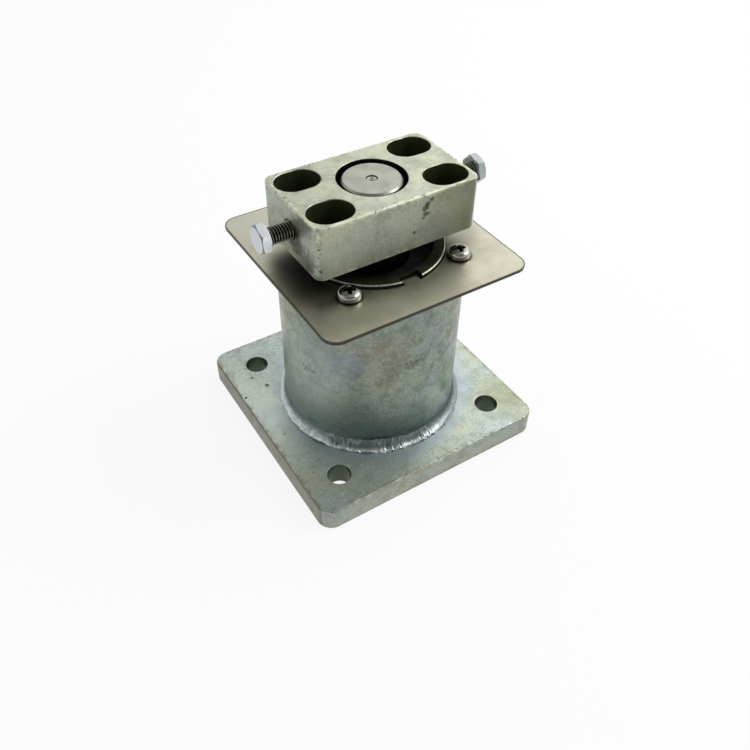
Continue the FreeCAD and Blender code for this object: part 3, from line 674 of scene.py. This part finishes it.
def rubber_finish():
    """Black moulded rubber with a little dust on it."""
    coat = start_finish("moulded_rubber", metallic=0.0)
    tree, place = coat.tree, coat.place
    bloom = grain(tree, place, 3, detail=5, seed=61.0)
    coat.colour = tint(tree, level(tree, bloom, 0.45, 0.75), RUBBER_BLACK, RUBBER_DUST)
    coat.rough = level(tree, bloom, 0.3, 0.7, 0.45, 0.65)
    coat.height = grain(tree, place, 0.5, detail=2, seed=63.0)
    return close_finish(coat, relief=0.02)


def lock_ring_finish():
    """Turned steel painted dark as shade, with a gritty painted highlight along the lip's outer edge."""
    coat = turned_steel("shaded_lock_ring_steel", RING_SHADE, rough=0.4, line=0.4, metallic=0.8)
    tree, place = coat.tree, coat.place
    # Painted highlight along the lip's outer edge; the rest of the ring is painted dark as shade.
    lip = level(tree, from_axis(coat), *LIP_REACH)
    lip = times(tree, lip, level(tree, split(tree, place)[2], *LIP_HEIGHTS))
    gritty = grain(tree, place, 0.7, detail=3, seed=67.0)
    lip = times(tree, lip, level(tree, gritty, 0.3, 0.6, 0.35, 1.0))
    lay(coat, lip, LIP_HIGHLIGHT)
    return close_finish(coat, relief=0.02)


dress(rubber_finish(), "shaft_seal")
dress(lock_ring_finish(), "lock_ring")

# Cover plate
# A square of 1.2 mm stainless sheet with rounded corners and four tabs in its opening for the lock ring.
# The rolled face is a warm satin grey, and the cut edges keep the brown of the cutting heat.

SHEET_WARM = shade(190, 186, 168)
SHEET_DARK = shade(173, 169, 151)
SHEET_PALE = shade(206, 204, 190)
CUT_BROWN = shade(34, 27, 19)
PAINTED_SHADE = shade(14, 14, 9)
SHEEN_TOWARDS_BACK = (0.0, 45.0 * MM)
SHADE_REACH = (33.5 * MM, 43.0 * MM)
OPENING_REACH = 33.0 * MM
TAB_INNER = 28.7 * MM
TAB_HALF = 4.7 * MM
TAB_LINE = (0.6 * MM, 1.2 * MM)
SCREW_OFFSET = 27.5 * MM
SCREW_REACH = (5.2 * MM, 6.4 * MM)
COVER_CORNER = 7.0 * MM
CUT_REACH = (0.2 * MM, 0.8 * MM)


def rim_gap(coat, node, corner):
    """Distance in metres inwards from the upright rim of a square node with rounded corners."""
    tree = coat.tree
    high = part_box(node)[1]
    away = vectors(tree, "ABSOLUTE", coat.place)
    past = vectors(tree, "SUBTRACT", away, (high[0] - corner, high[1] - corner, 1.0))
    reach = vectors(tree, "LENGTH", vectors(tree, "MAXIMUM", past, (0, 0, 0)))
    return maths(tree, "SUBTRACT", corner, reach)


def cover_finish():
    """Satin rolled sheet with a painted sheen towards the back, a painted shadow of the block, and painted
    shade at the opening, the tabs and the screws.
    """
    coat = start_finish("satin_cover_sheet", metallic=1.0)
    tree, place = coat.tree, coat.place
    rolled = grain(tree, place, 0.25, (60, 1, 1), detail=3, seed=71.0)
    bloom = grain(tree, place, 16, detail=5, seed=73.0)
    coat.colour = tint(tree, level(tree, bloom, 0.35, 0.7), SHEET_WARM, SHEET_DARK)
    lay(coat, level(tree, rolled, 0.4, 0.75, 0.0, 0.2), SHEET_DARK)
    coat.rough = level(tree, bloom, 0.3, 0.7, 0.36, 0.41)
    coat.height = rolled
    # Painted sheen: paler towards the back.
    lay(coat, level(tree, split(tree, place)[1], *SHEEN_TOWARDS_BACK, 0.0, 0.6), SHEET_PALE)
    # Painted shadow and reflection of the block, dark on the sheet beside its left end.
    blotch(coat, PAINTED_SHADE, 0.75, (-36.0, -5.0, 99.0), (19.0, 28.0, 9.0), ragged=0.0, inner=0.35, seed=75.0)
    reach = from_axis(coat)
    # Painted shade round the opening, fading outwards.
    lay(coat, level(tree, reach, *SHADE_REACH, 0.35, 0.0), PAINTED_SHADE)
    # Painted shadow lines along the edges of the tabs.
    x, y, _ = split(tree, vectors(tree, "ABSOLUTE", place))
    tab_length = maths(tree, "SUBTRACT", maths(tree, "MAXIMUM", x, y), TAB_INNER)
    tab_side = maths(tree, "SUBTRACT", TAB_HALF, maths(tree, "MINIMUM", x, y))
    tab_edge = maths(tree, "MINIMUM", tab_length, tab_side)
    on_tab = maths(tree, "LESS_THAN", reach, OPENING_REACH)
    lay(coat, times(tree, level(tree, tab_edge, *TAB_LINE, 0.95, 0.0), on_tab), PAINTED_SHADE)
    # Painted contact shadow round each screw head.
    lay(coat, level(tree, near_corners(coat, SCREW_OFFSET), *SCREW_REACH, 0.75, 0.0), PAINTED_SHADE)
    from_rim = rim_gap(coat, "cover_plate", COVER_CORNER)
    lay(coat, level(tree, from_rim, *CUT_REACH, 0.9, 0.0), CUT_BROWN)
    return close_finish(coat, relief=0.001)


dress(cover_finish(), "cover_plate")

# Cover screws
# Four M5 pan-head screws of polished stainless with a cross recess, one near each corner of the opening.
# They clamp the cover to the rim of the tube, each stopped at its own turn.

SCREW_STEEL = shade(172, 170, 162)
SCREW_STAIN = shade(96, 92, 84)
RECESS_SHADE = shade(22, 21, 18)
RECESS_HEIGHTS = (102.4 * MM, 102.6 * MM)
RECESS_REACH = 3.2 * MM
SCREW_FOOT = (99.4 * MM, 100.4 * MM)


def turned(tree, profile, columns=49):
    """A closed turned body from a profile of (radius, height) pairs that runs from pole to pole."""
    sheet, round_it, row = grid(tree, columns, len(profile))
    picked = add(tree, "GeometryNodeIndexSwitch", {"Index": row}, data_type="VECTOR")
    while len(picked.index_switch_items) < len(profile):
        picked.index_switch_items.new()
    for step, (radius, height) in enumerate(profile):
        picked.inputs[step + 1].default_value = (radius, 0.0, height)
    radius, _, height = split(tree, picked.outputs[0])
    return wrap(tree, sheet, times(tree, round_it, 2 * math.pi), radius, height)


def screw_finish():
    """Polished stainless with a little stain, painted shade in the recess and a painted contact shadow
    round the foot of the head.
    """
    coat = start_finish("polished_screw_steel", metallic=1.0)
    tree, place = coat.tree, coat.place
    stain = grain(tree, place, 2.5, detail=4, seed=81.0)
    coat.colour = tint(tree, level(tree, stain, 0.5, 0.75, 0.0, 0.6), SCREW_STEEL, SCREW_STAIN)
    z = split(tree, place)[2]
    # Painted shade: dark in the cross recess and round the foot of the head.
    in_recess = maths(tree, "LESS_THAN", near_corners(coat, SCREW_OFFSET), RECESS_REACH)
    shaded_recess = times(tree, level(tree, z, *RECESS_HEIGHTS, 1.0, 0.0), in_recess)
    foot = level(tree, z, *SCREW_FOOT, 0.85, 0.0)
    lay(coat, maths(tree, "MAXIMUM", shaded_recess, foot), RECESS_SHADE)
    coat.rough = level(tree, stain, 0.3, 0.7, 0.14, 0.24)
    coat.height = grain(tree, place, 0.4, detail=2, seed=83.0)
    return close_finish(coat, relief=0.002)


def screw_tree(finish):
    """One pan head with a cross recess, set at the four corners of a square, each turned by chance."""
    tree, sizes = size_tree("cover_screw_heads", spacing=55.0, seat_level=99.2, seed=4)
    head_radius = 5.0
    foot_chamfer = 0.25
    wall = 1.7
    crown = 2.2
    crown_spread = 0.6
    crown_rise = 0.8
    steps = 14
    profile = [(0.0, 0.0), (head_radius - foot_chamfer, 0.0), (head_radius, foot_chamfer)]
    for step in range(steps + 1):
        turn = step / steps * math.pi / 2
        radius = head_radius * math.cos(turn) ** crown_spread
        profile.append((radius, wall + crown * math.sin(turn) ** crown_rise))
    head = turned(tree, profile)
    arm_length = 5.8
    arm_width = 1.75
    foot_share = 0.45
    for turn, recess_depth in ((0.0, 2.3), (math.pi / 2, 2.2)):
        size = {"Size": (arm_length, arm_width, recess_depth * 2)}
        bar = add(tree, "GeometryNodeMeshCube", size).outputs["Mesh"]
        spot = add(tree, "GeometryNodeInputPosition").outputs[0]
        depth = split(tree, spot)[2]
        narrow = level(tree, depth, -recess_depth, recess_depth, foot_share, 2.0 - foot_share)
        shaped = vectors(tree, "MULTIPLY", spot, join(tree, narrow, narrow, 1.0))
        tapered = add(tree, "GeometryNodeSetPosition", {"Geometry": bar, "Position": shaped}).outputs[0]
        place = {"Geometry": tapered, "Translation": (0, 0, wall + crown), "Rotation": (0, 0, turn)}
        tool = add(tree, "GeometryNodeTransform", place).outputs[0]
        cut = {"Mesh 1": head, "Mesh 2": tool}
        head = add(tree, "GeometryNodeMeshBoolean", cut, operation="DIFFERENCE").outputs["Mesh"]
    square = {"Size X": sizes["spacing"], "Size Y": sizes["spacing"], "Vertices X": 2, "Vertices Y": 2}
    corners = add(tree, "GeometryNodeMeshGrid", square).outputs["Mesh"]
    lift = join(tree, z=sizes["seat_level"])
    lifted = add(tree, "GeometryNodeTransform", {"Geometry": corners, "Translation": lift}).outputs[0]
    stopped = join(tree, z=draw(tree, 0.0, math.pi / 2, sizes["seed"]))
    spots = {"Points": lifted, "Instance": head, "Rotation": stopped}
    heads = add(tree, "GeometryNodeInstanceOnPoints", spots).outputs[0]
    close_tree(tree, heads, finish, crease=32.0)
    return tree


grow("cover_screw_heads", screw_tree(screw_finish()), "housing", "bright_screw", "cover_screws")

# Door block
# A sawn and milled steel block, the shoe that the door bolts to through four slots, so it can be shifted.
# It is zinc plated like the plate, pale along its worn edges with a painted highlight, and painted dark as
# shade inside the slots.

BLOCK_BLUISH = shade(162, 172, 162)
BLOCK_OLIVE = shade(172, 176, 152)
BLOCK_DULL = shade(122, 130, 110)
EDGE_WEAR_AND_HIGHLIGHT = shade(222, 226, 198)
PALE_LIGHT = shade(206, 210, 186)
SHADED_OLIVE = shade(92, 97, 76)
STAIN_DARK = shade(44, 48, 34)
SLOT_SHADE = shade(80, 88, 58)
UNDERSIDE_SHADE = shade(13, 13, 10)
TOP_HEIGHTS = (131.6 * MM, 131.8 * MM)
UNDER_HEIGHTS = (107.6 * MM, 108.1 * MM)
SLOT_HEIGHTS = (131.6 * MM, 131.9 * MM)
SLOT_CENTRE = (27.5 * MM, 13.5 * MM)
SLOT_HALF_STRAIGHT = 2.25 * MM
SLOT_REACH = 7.9 * MM
COUNTERBORE_REACH = 15.1 * MM
PIT_REACH = (0.6 * MM, 3.0 * MM)
FRONT_FACE = -22.6 * MM
PALE_LEFT = (-36.0 * MM, -8.0 * MM)
SHADED_RIGHT = (-5.0 * MM, 39.0 * MM)
BLOCK_ENDS = (-39.0, 39.0)
FRONT_STAINS = (
    (13.8, 129.2, 1.3),
    (12.5, 127.9, 1.8),
    (11.4, 126.1, 1.8),
    (11.2, 122.8, 1.3),
    (12.7, 122.9, 1.0),
    (10.3, 121.3, 1.1),
    (6.2, 115.5, 1.1),
    (-37.9, 125.5, 0.7),
    (-37.7, 122.7, 0.7),
    (-37.9, 118.9, 0.7),
    (-38.1, 114.9, 1.1),
    (-37.8, 112.2, 0.8),
)


def in_slots(coat):
    """1 on the walls of the four long slots, 0 on the block's outside faces."""
    tree = coat.tree
    x, y, z = split(tree, vectors(tree, "ABSOLUTE", coat.place))
    along = maths(tree, "ABSOLUTE", maths(tree, "SUBTRACT", x, SLOT_CENTRE[0]))
    across = maths(tree, "SUBTRACT", y, SLOT_CENTRE[1])
    past_straight = maths(tree, "MAXIMUM", maths(tree, "SUBTRACT", along, SLOT_HALF_STRAIGHT), 0.0)
    gap = vectors(tree, "LENGTH", join(tree, past_straight, across))
    inside = maths(tree, "LESS_THAN", gap, SLOT_REACH)
    return times(tree, inside, level(tree, z, *SLOT_HEIGHTS, 1.0, 0.0))


def block_finish():
    """Zinc with painted light on top and left of the front, pale worn edges with painted highlight, front
    stains, and painted shade on the front's right, round the bolts, in the slots, the bore and underneath.
    """
    coat = zinc_coat("door_block_zinc", BLOCK_BLUISH, BLOCK_OLIVE, BLOCK_DULL, seed=31.0)
    tree, place = coat.tree, coat.place
    x, y, z = split(tree, place)
    # Painted light: the top face turns paler in patches.
    top_light_patches = level(tree, grain(tree, place, 9, detail=6, seed=43.0), 0.35, 0.65, 0.1, 0.6)
    lay(coat, times(tree, level(tree, z, *TOP_HEIGHTS), top_light_patches), PALE_LIGHT)
    # Pale worn edges, partly a painted edge highlight.
    worn_edges(coat, "door_block", EDGE_WEAR_AND_HIGHLIGHT, width=0.8, amount=0.65)
    for across, height, width in FRONT_STAINS:
        spot = (across, -23.0, height)
        blotch(coat, STAIN_DARK, 0.85, spot, (width, 2.0, width), ragged=0.5, inner=0.4, seed=33.0)
    # Painted shadows of the jack bolts: dark blotches on both ends of the block round the bolt holes.
    for end in BLOCK_ENDS:
        spot = (end, -4.0, 118.0)
        blotch(coat, SHADE_BLACK, 0.92, spot, (3.0, 10.5, 9.5), ragged=0.2, inner=0.3, seed=35.0)
        spot = (end, -14.0, 112.0)
        blotch(coat, SHADE_BLACK, 0.6, spot, (3.0, 11.0, 9.0), ragged=0.3, inner=0.2, seed=36.0)
    pits = level(tree, grain(tree, place, 1.3, detail=3, seed=37.0), 0.61, 0.67)
    near_edge = level(tree, edge_gap(coat, "door_block"), *PIT_REACH, 1.0, 0.0)
    pits = times(tree, pits, near_edge)
    lay(coat, pits, STAIN_DARK)
    coat.height = maths(tree, "SUBTRACT", coat.height, pits)
    # Painted light on the left end of the front face, painted shade towards its right, with darker brush
    # strokes.
    front = maths(tree, "LESS_THAN", y, FRONT_FACE)
    to_left = level(tree, x, *PALE_LEFT, 0.3, 0.0)
    lay(coat, times(tree, front, to_left), PALE_LIGHT)
    to_right = level(tree, x, *SHADED_RIGHT, 0.0, 0.75)
    brushed = grain(tree, place, 0.5, (1, 1, 24), detail=3, seed=39.0)
    shaded = maths(tree, "MAXIMUM", to_right, level(tree, brushed, 0.45, 0.75, 0.0, 0.3))
    lay(coat, times(tree, front, shaded), SHADED_OLIVE)
    # Painted shade: the underside of the block is near black.
    lay(coat, level(tree, z, *UNDER_HEIGHTS, 0.9, 0.0), UNDERSIDE_SHADE)
    # Painted shade in the bore round the spindle.
    lay(coat, maths(tree, "LESS_THAN", from_axis(coat), COUNTERBORE_REACH), SHADE_BLACK)
    # Painted shade: the walls of the slots are dark olive.
    lay(coat, in_slots(coat), SLOT_SHADE)
    return close_finish(coat, relief=0.05)


dress(block_finish(), "door_block")

# Jack bolts
# Two bright-zinc M8 hexagon bolts screwed into the ends of the block, to push the door along its slots.
# Rolled thread up to the head, with a washer face under it and the corners of the hexagon chamfered.

BOLT_PALE = shade(240, 244, 246)
BOLT_GREY = shade(220, 225, 229)
BOLT_END_SHADE = shade(194, 202, 203)
BOLT_RIM_SHADE = shade(120, 126, 128)
BOLT_DULL = shade(142, 148, 150)
THREAD_OLIVE = shade(140, 142, 124)
THREAD_ROOT_SHADE = shade(24, 25, 20)
DULL_RIGHT = (0.0, 10.0 * MM)


def bolt_finish():
    """Bright zinc with a faint blue cast, duller on the right bolt, olive on the thread, with painted shade
    on the head's end and chamfer rim and in the thread roots.
    """
    coat = start_finish("bright_bolt_zinc", metallic=0.8)
    tree = coat.tree
    patch = grain(tree, coat.place, 4, detail=2, seed=91.0)
    coat.colour = tint(tree, level(tree, patch, 0.4, 0.7), BOLT_PALE, BOLT_GREY)
    lay(coat, level(tree, split(tree, coat.place)[0], *DULL_RIGHT, 0.0, 0.75), BOLT_DULL)
    # Painted shade on the end face of the head and on its chamfer rim.
    end = stored(tree, "end")
    lay(coat, level(tree, end, 0.0, 0.5), BOLT_RIM_SHADE)
    lay(coat, level(tree, end, 0.5, 1.0), BOLT_END_SHADE)
    root = stored(tree, "root")
    lay(coat, level(tree, root, 0.0, 0.3), THREAD_OLIVE)
    # Painted shade in the thread roots.
    lay(coat, level(tree, root, 0.35, 0.7), THREAD_ROOT_SHADE)
    coat.rough = level(tree, patch, 0.3, 0.7, 0.26, 0.34)
    coat.height = patch
    return close_finish(coat, relief=0.005)


def bolt_tree(finish):
    """A bolt along Z with its tip at 0: rolled thread and a chamfered hexagon head, then laid along X."""
    tree, sizes = size_tree(
        "jack_bolt",
        pitch=1.25,
        crest_radius=3.9,
        root_radius=3.2,
        tip_radius=3.0,
        length=25.2,
        tip_x=24.4,
        centre_z=119.75,
        side=1.0,
        head_turn=0.0,
        columns=49,
        turn_rows=8,
        turns=25,
    )
    rows = maths(tree, "ADD", times(tree, sizes["turn_rows"], sizes["turns"]), 1)
    sheet, round_it, row = grid(tree, sizes["columns"], rows)
    turn_share = maths(tree, "DIVIDE", row, sizes["turn_rows"])
    climbed = times(tree, maths(tree, "ADD", turn_share, round_it), sizes["pitch"])
    turns_below_tip = 2.5
    height = maths(tree, "SUBTRACT", climbed, times(tree, sizes["pitch"], turns_below_tip))
    root_flat = 0.06
    crest_flat = 0.06
    flank = level(tree, maths(tree, "PINGPONG", turn_share, 0.5), root_flat, 0.5 - crest_flat)
    depth = maths(tree, "SUBTRACT", sizes["crest_radius"], sizes["root_radius"])
    threaded = maths(tree, "ADD", sizes["root_radius"], times(tree, flank, depth))
    below_tip = maths(tree, "MINIMUM", height, 0.0)
    tip_cone = maths(tree, "ADD", sizes["tip_radius"], maths(tree, "ADD", height, below_tip))
    past_end = maths(tree, "MAXIMUM", maths(tree, "SUBTRACT", height, sizes["length"]), 0.0)
    end_slope = 4.0
    end_taper = times(tree, past_end, end_slope)
    shrunk = maths(tree, "SUBTRACT", maths(tree, "MINIMUM", threaded, tip_cone), end_taper)
    radius = maths(tree, "MAXIMUM", shrunk, 0.0)
    kept = maths(tree, "MAXIMUM", maths(tree, "MINIMUM", height, sizes["length"]), 0.0)
    # Marks the thread roots, for the painted shade in the finish.
    marked = store(tree, sheet, "root", level(tree, flank, 0.0, 1.0, 1.0, 0.3))
    shank = wrap(tree, marked, times(tree, round_it, 2 * math.pi), radius, kept)

    head_base = 25.0
    head_top = 29.3
    across_flats = 12.0
    corner_radius = across_flats / math.sqrt(3)
    washer_radius = 5.6
    washer_height = 0.3
    washer_slope = 0.4
    chamfer_drop = 0.75
    overlap = 1.0
    clearance = 0.1
    hair = 0.01
    bar = {"Vertices": 6, "Radius": corner_radius, "Depth": head_top - head_base + 2 * overlap}
    prism = add(tree, "GeometryNodeMeshCylinder", bar).outputs["Mesh"]
    stand = {
        "Geometry": prism,
        "Translation": (0, 0, (head_base + head_top) / 2),
        "Rotation": join(tree, z=sizes["head_turn"]),
    }
    raised = add(tree, "GeometryNodeTransform", stand).outputs[0]
    outside = corner_radius + clearance
    turned_head = [
        (0.0, head_base),
        (washer_radius, head_base),
        (washer_radius, head_base + washer_height),
        (outside, head_base + washer_height + washer_slope),
        (outside, head_top - chamfer_drop),
        (washer_radius, head_top),
        (0.0, head_top),
    ]
    hexagon = add(tree, "GeometryNodeMeshBoolean", {}, operation="INTERSECT")
    for part in (raised, turned(tree, turned_head, columns=97)):
        tree.links.new(part, hexagon.inputs["Mesh 2"])
    # Marks the end face and chamfer rim, for the painted shade in the finish.
    face_level = split(tree, add(tree, "GeometryNodeInputPosition").outputs[0])[2]
    on_end = maths(tree, "GREATER_THAN", face_level, head_top - hair)
    on_rim = maths(tree, "GREATER_THAN", face_level, head_top - chamfer_drop)
    sloped = split(tree, add(tree, "GeometryNodeInputNormal").outputs[0])[2]
    on_rim = times(tree, on_rim, maths(tree, "GREATER_THAN", sloped, 0.5))
    share = times(tree, maths(tree, "ADD", on_end, on_rim), 0.5)
    head = store(tree, hexagon.outputs["Mesh"], "end", share, "FACE")
    both = add(tree, "GeometryNodeJoinGeometry")
    for part in (shank, head):
        tree.links.new(part, both.inputs[0])
    quarter_turn = times(tree, sizes["side"], math.pi / 2)
    tip = times(tree, sizes["side"], sizes["tip_x"])
    lie = {
        "Geometry": both.outputs[0],
        "Translation": join(tree, tip, 0.0, sizes["centre_z"]),
        "Rotation": join(tree, y=quarter_turn),
    }
    laid = add(tree, "GeometryNodeTransform", lie).outputs[0]
    close_tree(tree, laid, finish, crease=20.0)
    return tree


bolts = bolt_tree(bolt_finish())
for side, direction, tip_x, head_turn in (("left", -1.0, 24.4, 8.0), ("right", 1.0, 27.2, 42.0)):
    own = {"side": direction, "tip_x": tip_x, "head_turn": math.radians(head_turn)}
    grow(f"jack_bolt_{side}_thread", bolts, f"jack_{side}", "bolt_zinc", f"jack_bolt_{side}", **own)

# Floor, light and camera
# A pale floor, a bright room that is darker overhead and two large soft lamps on the right.
# The camera looks down from the front left, at the height and distance of a hand-held shot.

FLOOR_SIZE = 30.0
FLOOR_WHITE = (0.93, 0.93, 0.925, 1.0)
FLOOR_GLOW = 0.88
ROOM_HORIZON = (0.82, 0.82, 0.81, 1.0)
ROOM_TOP = (0.5, 0.51, 0.52, 1.0)
ROOM_DARK = (0.22, 0.23, 0.24, 1.0)
DARK_SIDE = Vector((-0.33, -0.52, 0.79)).normalized()
LAMPS = {
    "back_lamp": (Vector((0.63, 0.44, 0.60)), 0.9, 2.0),
    "key_lamp": (Vector((0.72, -0.22, 0.85)), 0.55, 5.0),
}
LAMP_DISTANCE = 1.1
CAMERA_AZIMUTH = math.radians(-32.74)
CAMERA_ELEVATION = math.radians(42.32)
CAMERA_ROLL = math.radians(0.91)
CAMERA_DISTANCE = 0.38835
CAMERA_TARGET = Vector((0, 0, 0.03917))
CAMERA_LENS = 38.1
CAMERA_SHIFT = (0.0076, -0.0412)

half = FLOOR_SIZE / 2
floor_mesh = bpy.data.meshes.new("floor")
floor_corners = [(-half, -half, 0), (half, -half, 0), (half, half, 0), (-half, half, 0)]
floor_mesh.from_pydata(floor_corners, [], [(0, 1, 2, 3)])
floor = bpy.data.objects.new("floor", floor_mesh)
bpy.context.scene.collection.objects.link(floor)
paper = bpy.data.materials.new("floor_paper")
paper.use_nodes = True
paper_tree = paper.node_tree
paper_shader = paper_tree.nodes["Principled BSDF"]
paper_shader.inputs["Base Color"].default_value = FLOOR_WHITE
paper_shader.inputs["Roughness"].default_value = 0.9
paper_shader.inputs["Specular IOR Level"].default_value = 0.1
seen = add(paper_tree, "ShaderNodeLightPath").outputs
straight = maths(paper_tree, "ADD", seen["Is Camera Ray"], seen["Is Glossy Ray"])
straight = maths(paper_tree, "ADD", straight, seen["Is Transmission Ray"])
straight = maths(paper_tree, "MINIMUM", straight, 1.0)
white = add(paper_tree, "ShaderNodeEmission", {"Color": (1, 1, 1, 1), "Strength": 1.0}).outputs[0]
lit = {0: times(paper_tree, straight, FLOOR_GLOW), 1: paper_shader.outputs[0], 2: white}
floor_shade = add(paper_tree, "ShaderNodeMixShader", lit).outputs[0]
paper_tree.links.new(floor_shade, paper_tree.nodes["Material Output"].inputs["Surface"])
floor_mesh.materials.append(paper)

world = bpy.data.worlds.new("bright_room")
bpy.context.scene.world = world
world.use_nodes = True
room = world.node_tree
room_way = add(room, "ShaderNodeTexCoord").outputs["Generated"]
room_height = split(room, room_way)[2]
room_colour = tint(room, level(room, room_height, 0.65, 0.97), ROOM_HORIZON, ROOM_TOP)
towards_dark = vectors(room, "DOT_PRODUCT", room_way, DARK_SIDE)
room_colour = tint(room, level(room, towards_dark, 0.6, 0.92), room_colour, ROOM_DARK)
room.links.new(room_colour, room.nodes["Background"].inputs["Color"])

for lamp_name, (direction, width, watts) in LAMPS.items():
    lamp = bpy.data.lights.new(lamp_name, "AREA")
    lamp.shape = "SQUARE"
    lamp.size = width
    lamp.energy = watts
    lamp_object = bpy.data.objects.new(lamp_name, lamp)
    bpy.context.scene.collection.objects.link(lamp_object)
    lamp_object.location = direction.normalized() * LAMP_DISTANCE
    lamp_object.rotation_mode = "QUATERNION"
    lamp_object.rotation_quaternion = (-direction).to_track_quat("-Z", "Y")

camera = bpy.data.cameras.new("camera")
camera.sensor_width = 36.0
camera.lens = CAMERA_LENS
camera.shift_x, camera.shift_y = CAMERA_SHIFT
camera_object = bpy.data.objects.new("camera", camera)
bpy.context.scene.collection.objects.link(camera_object)
back = Vector(
    (
        math.sin(CAMERA_AZIMUTH) * math.cos(CAMERA_ELEVATION),
        -math.cos(CAMERA_AZIMUTH) * math.cos(CAMERA_ELEVATION),
        math.sin(CAMERA_ELEVATION),
    )
)
camera_object.location = CAMERA_TARGET + back * CAMERA_DISTANCE
camera_object.rotation_mode = "QUATERNION"
camera_object.rotation_quaternion = (-back).to_track_quat("-Z", "Y") @ Quaternion((0, 0, 1), CAMERA_ROLL)
bpy.context.scene.camera = camera_object
bpy.context.scene.view_settings.view_transform = "Standard"
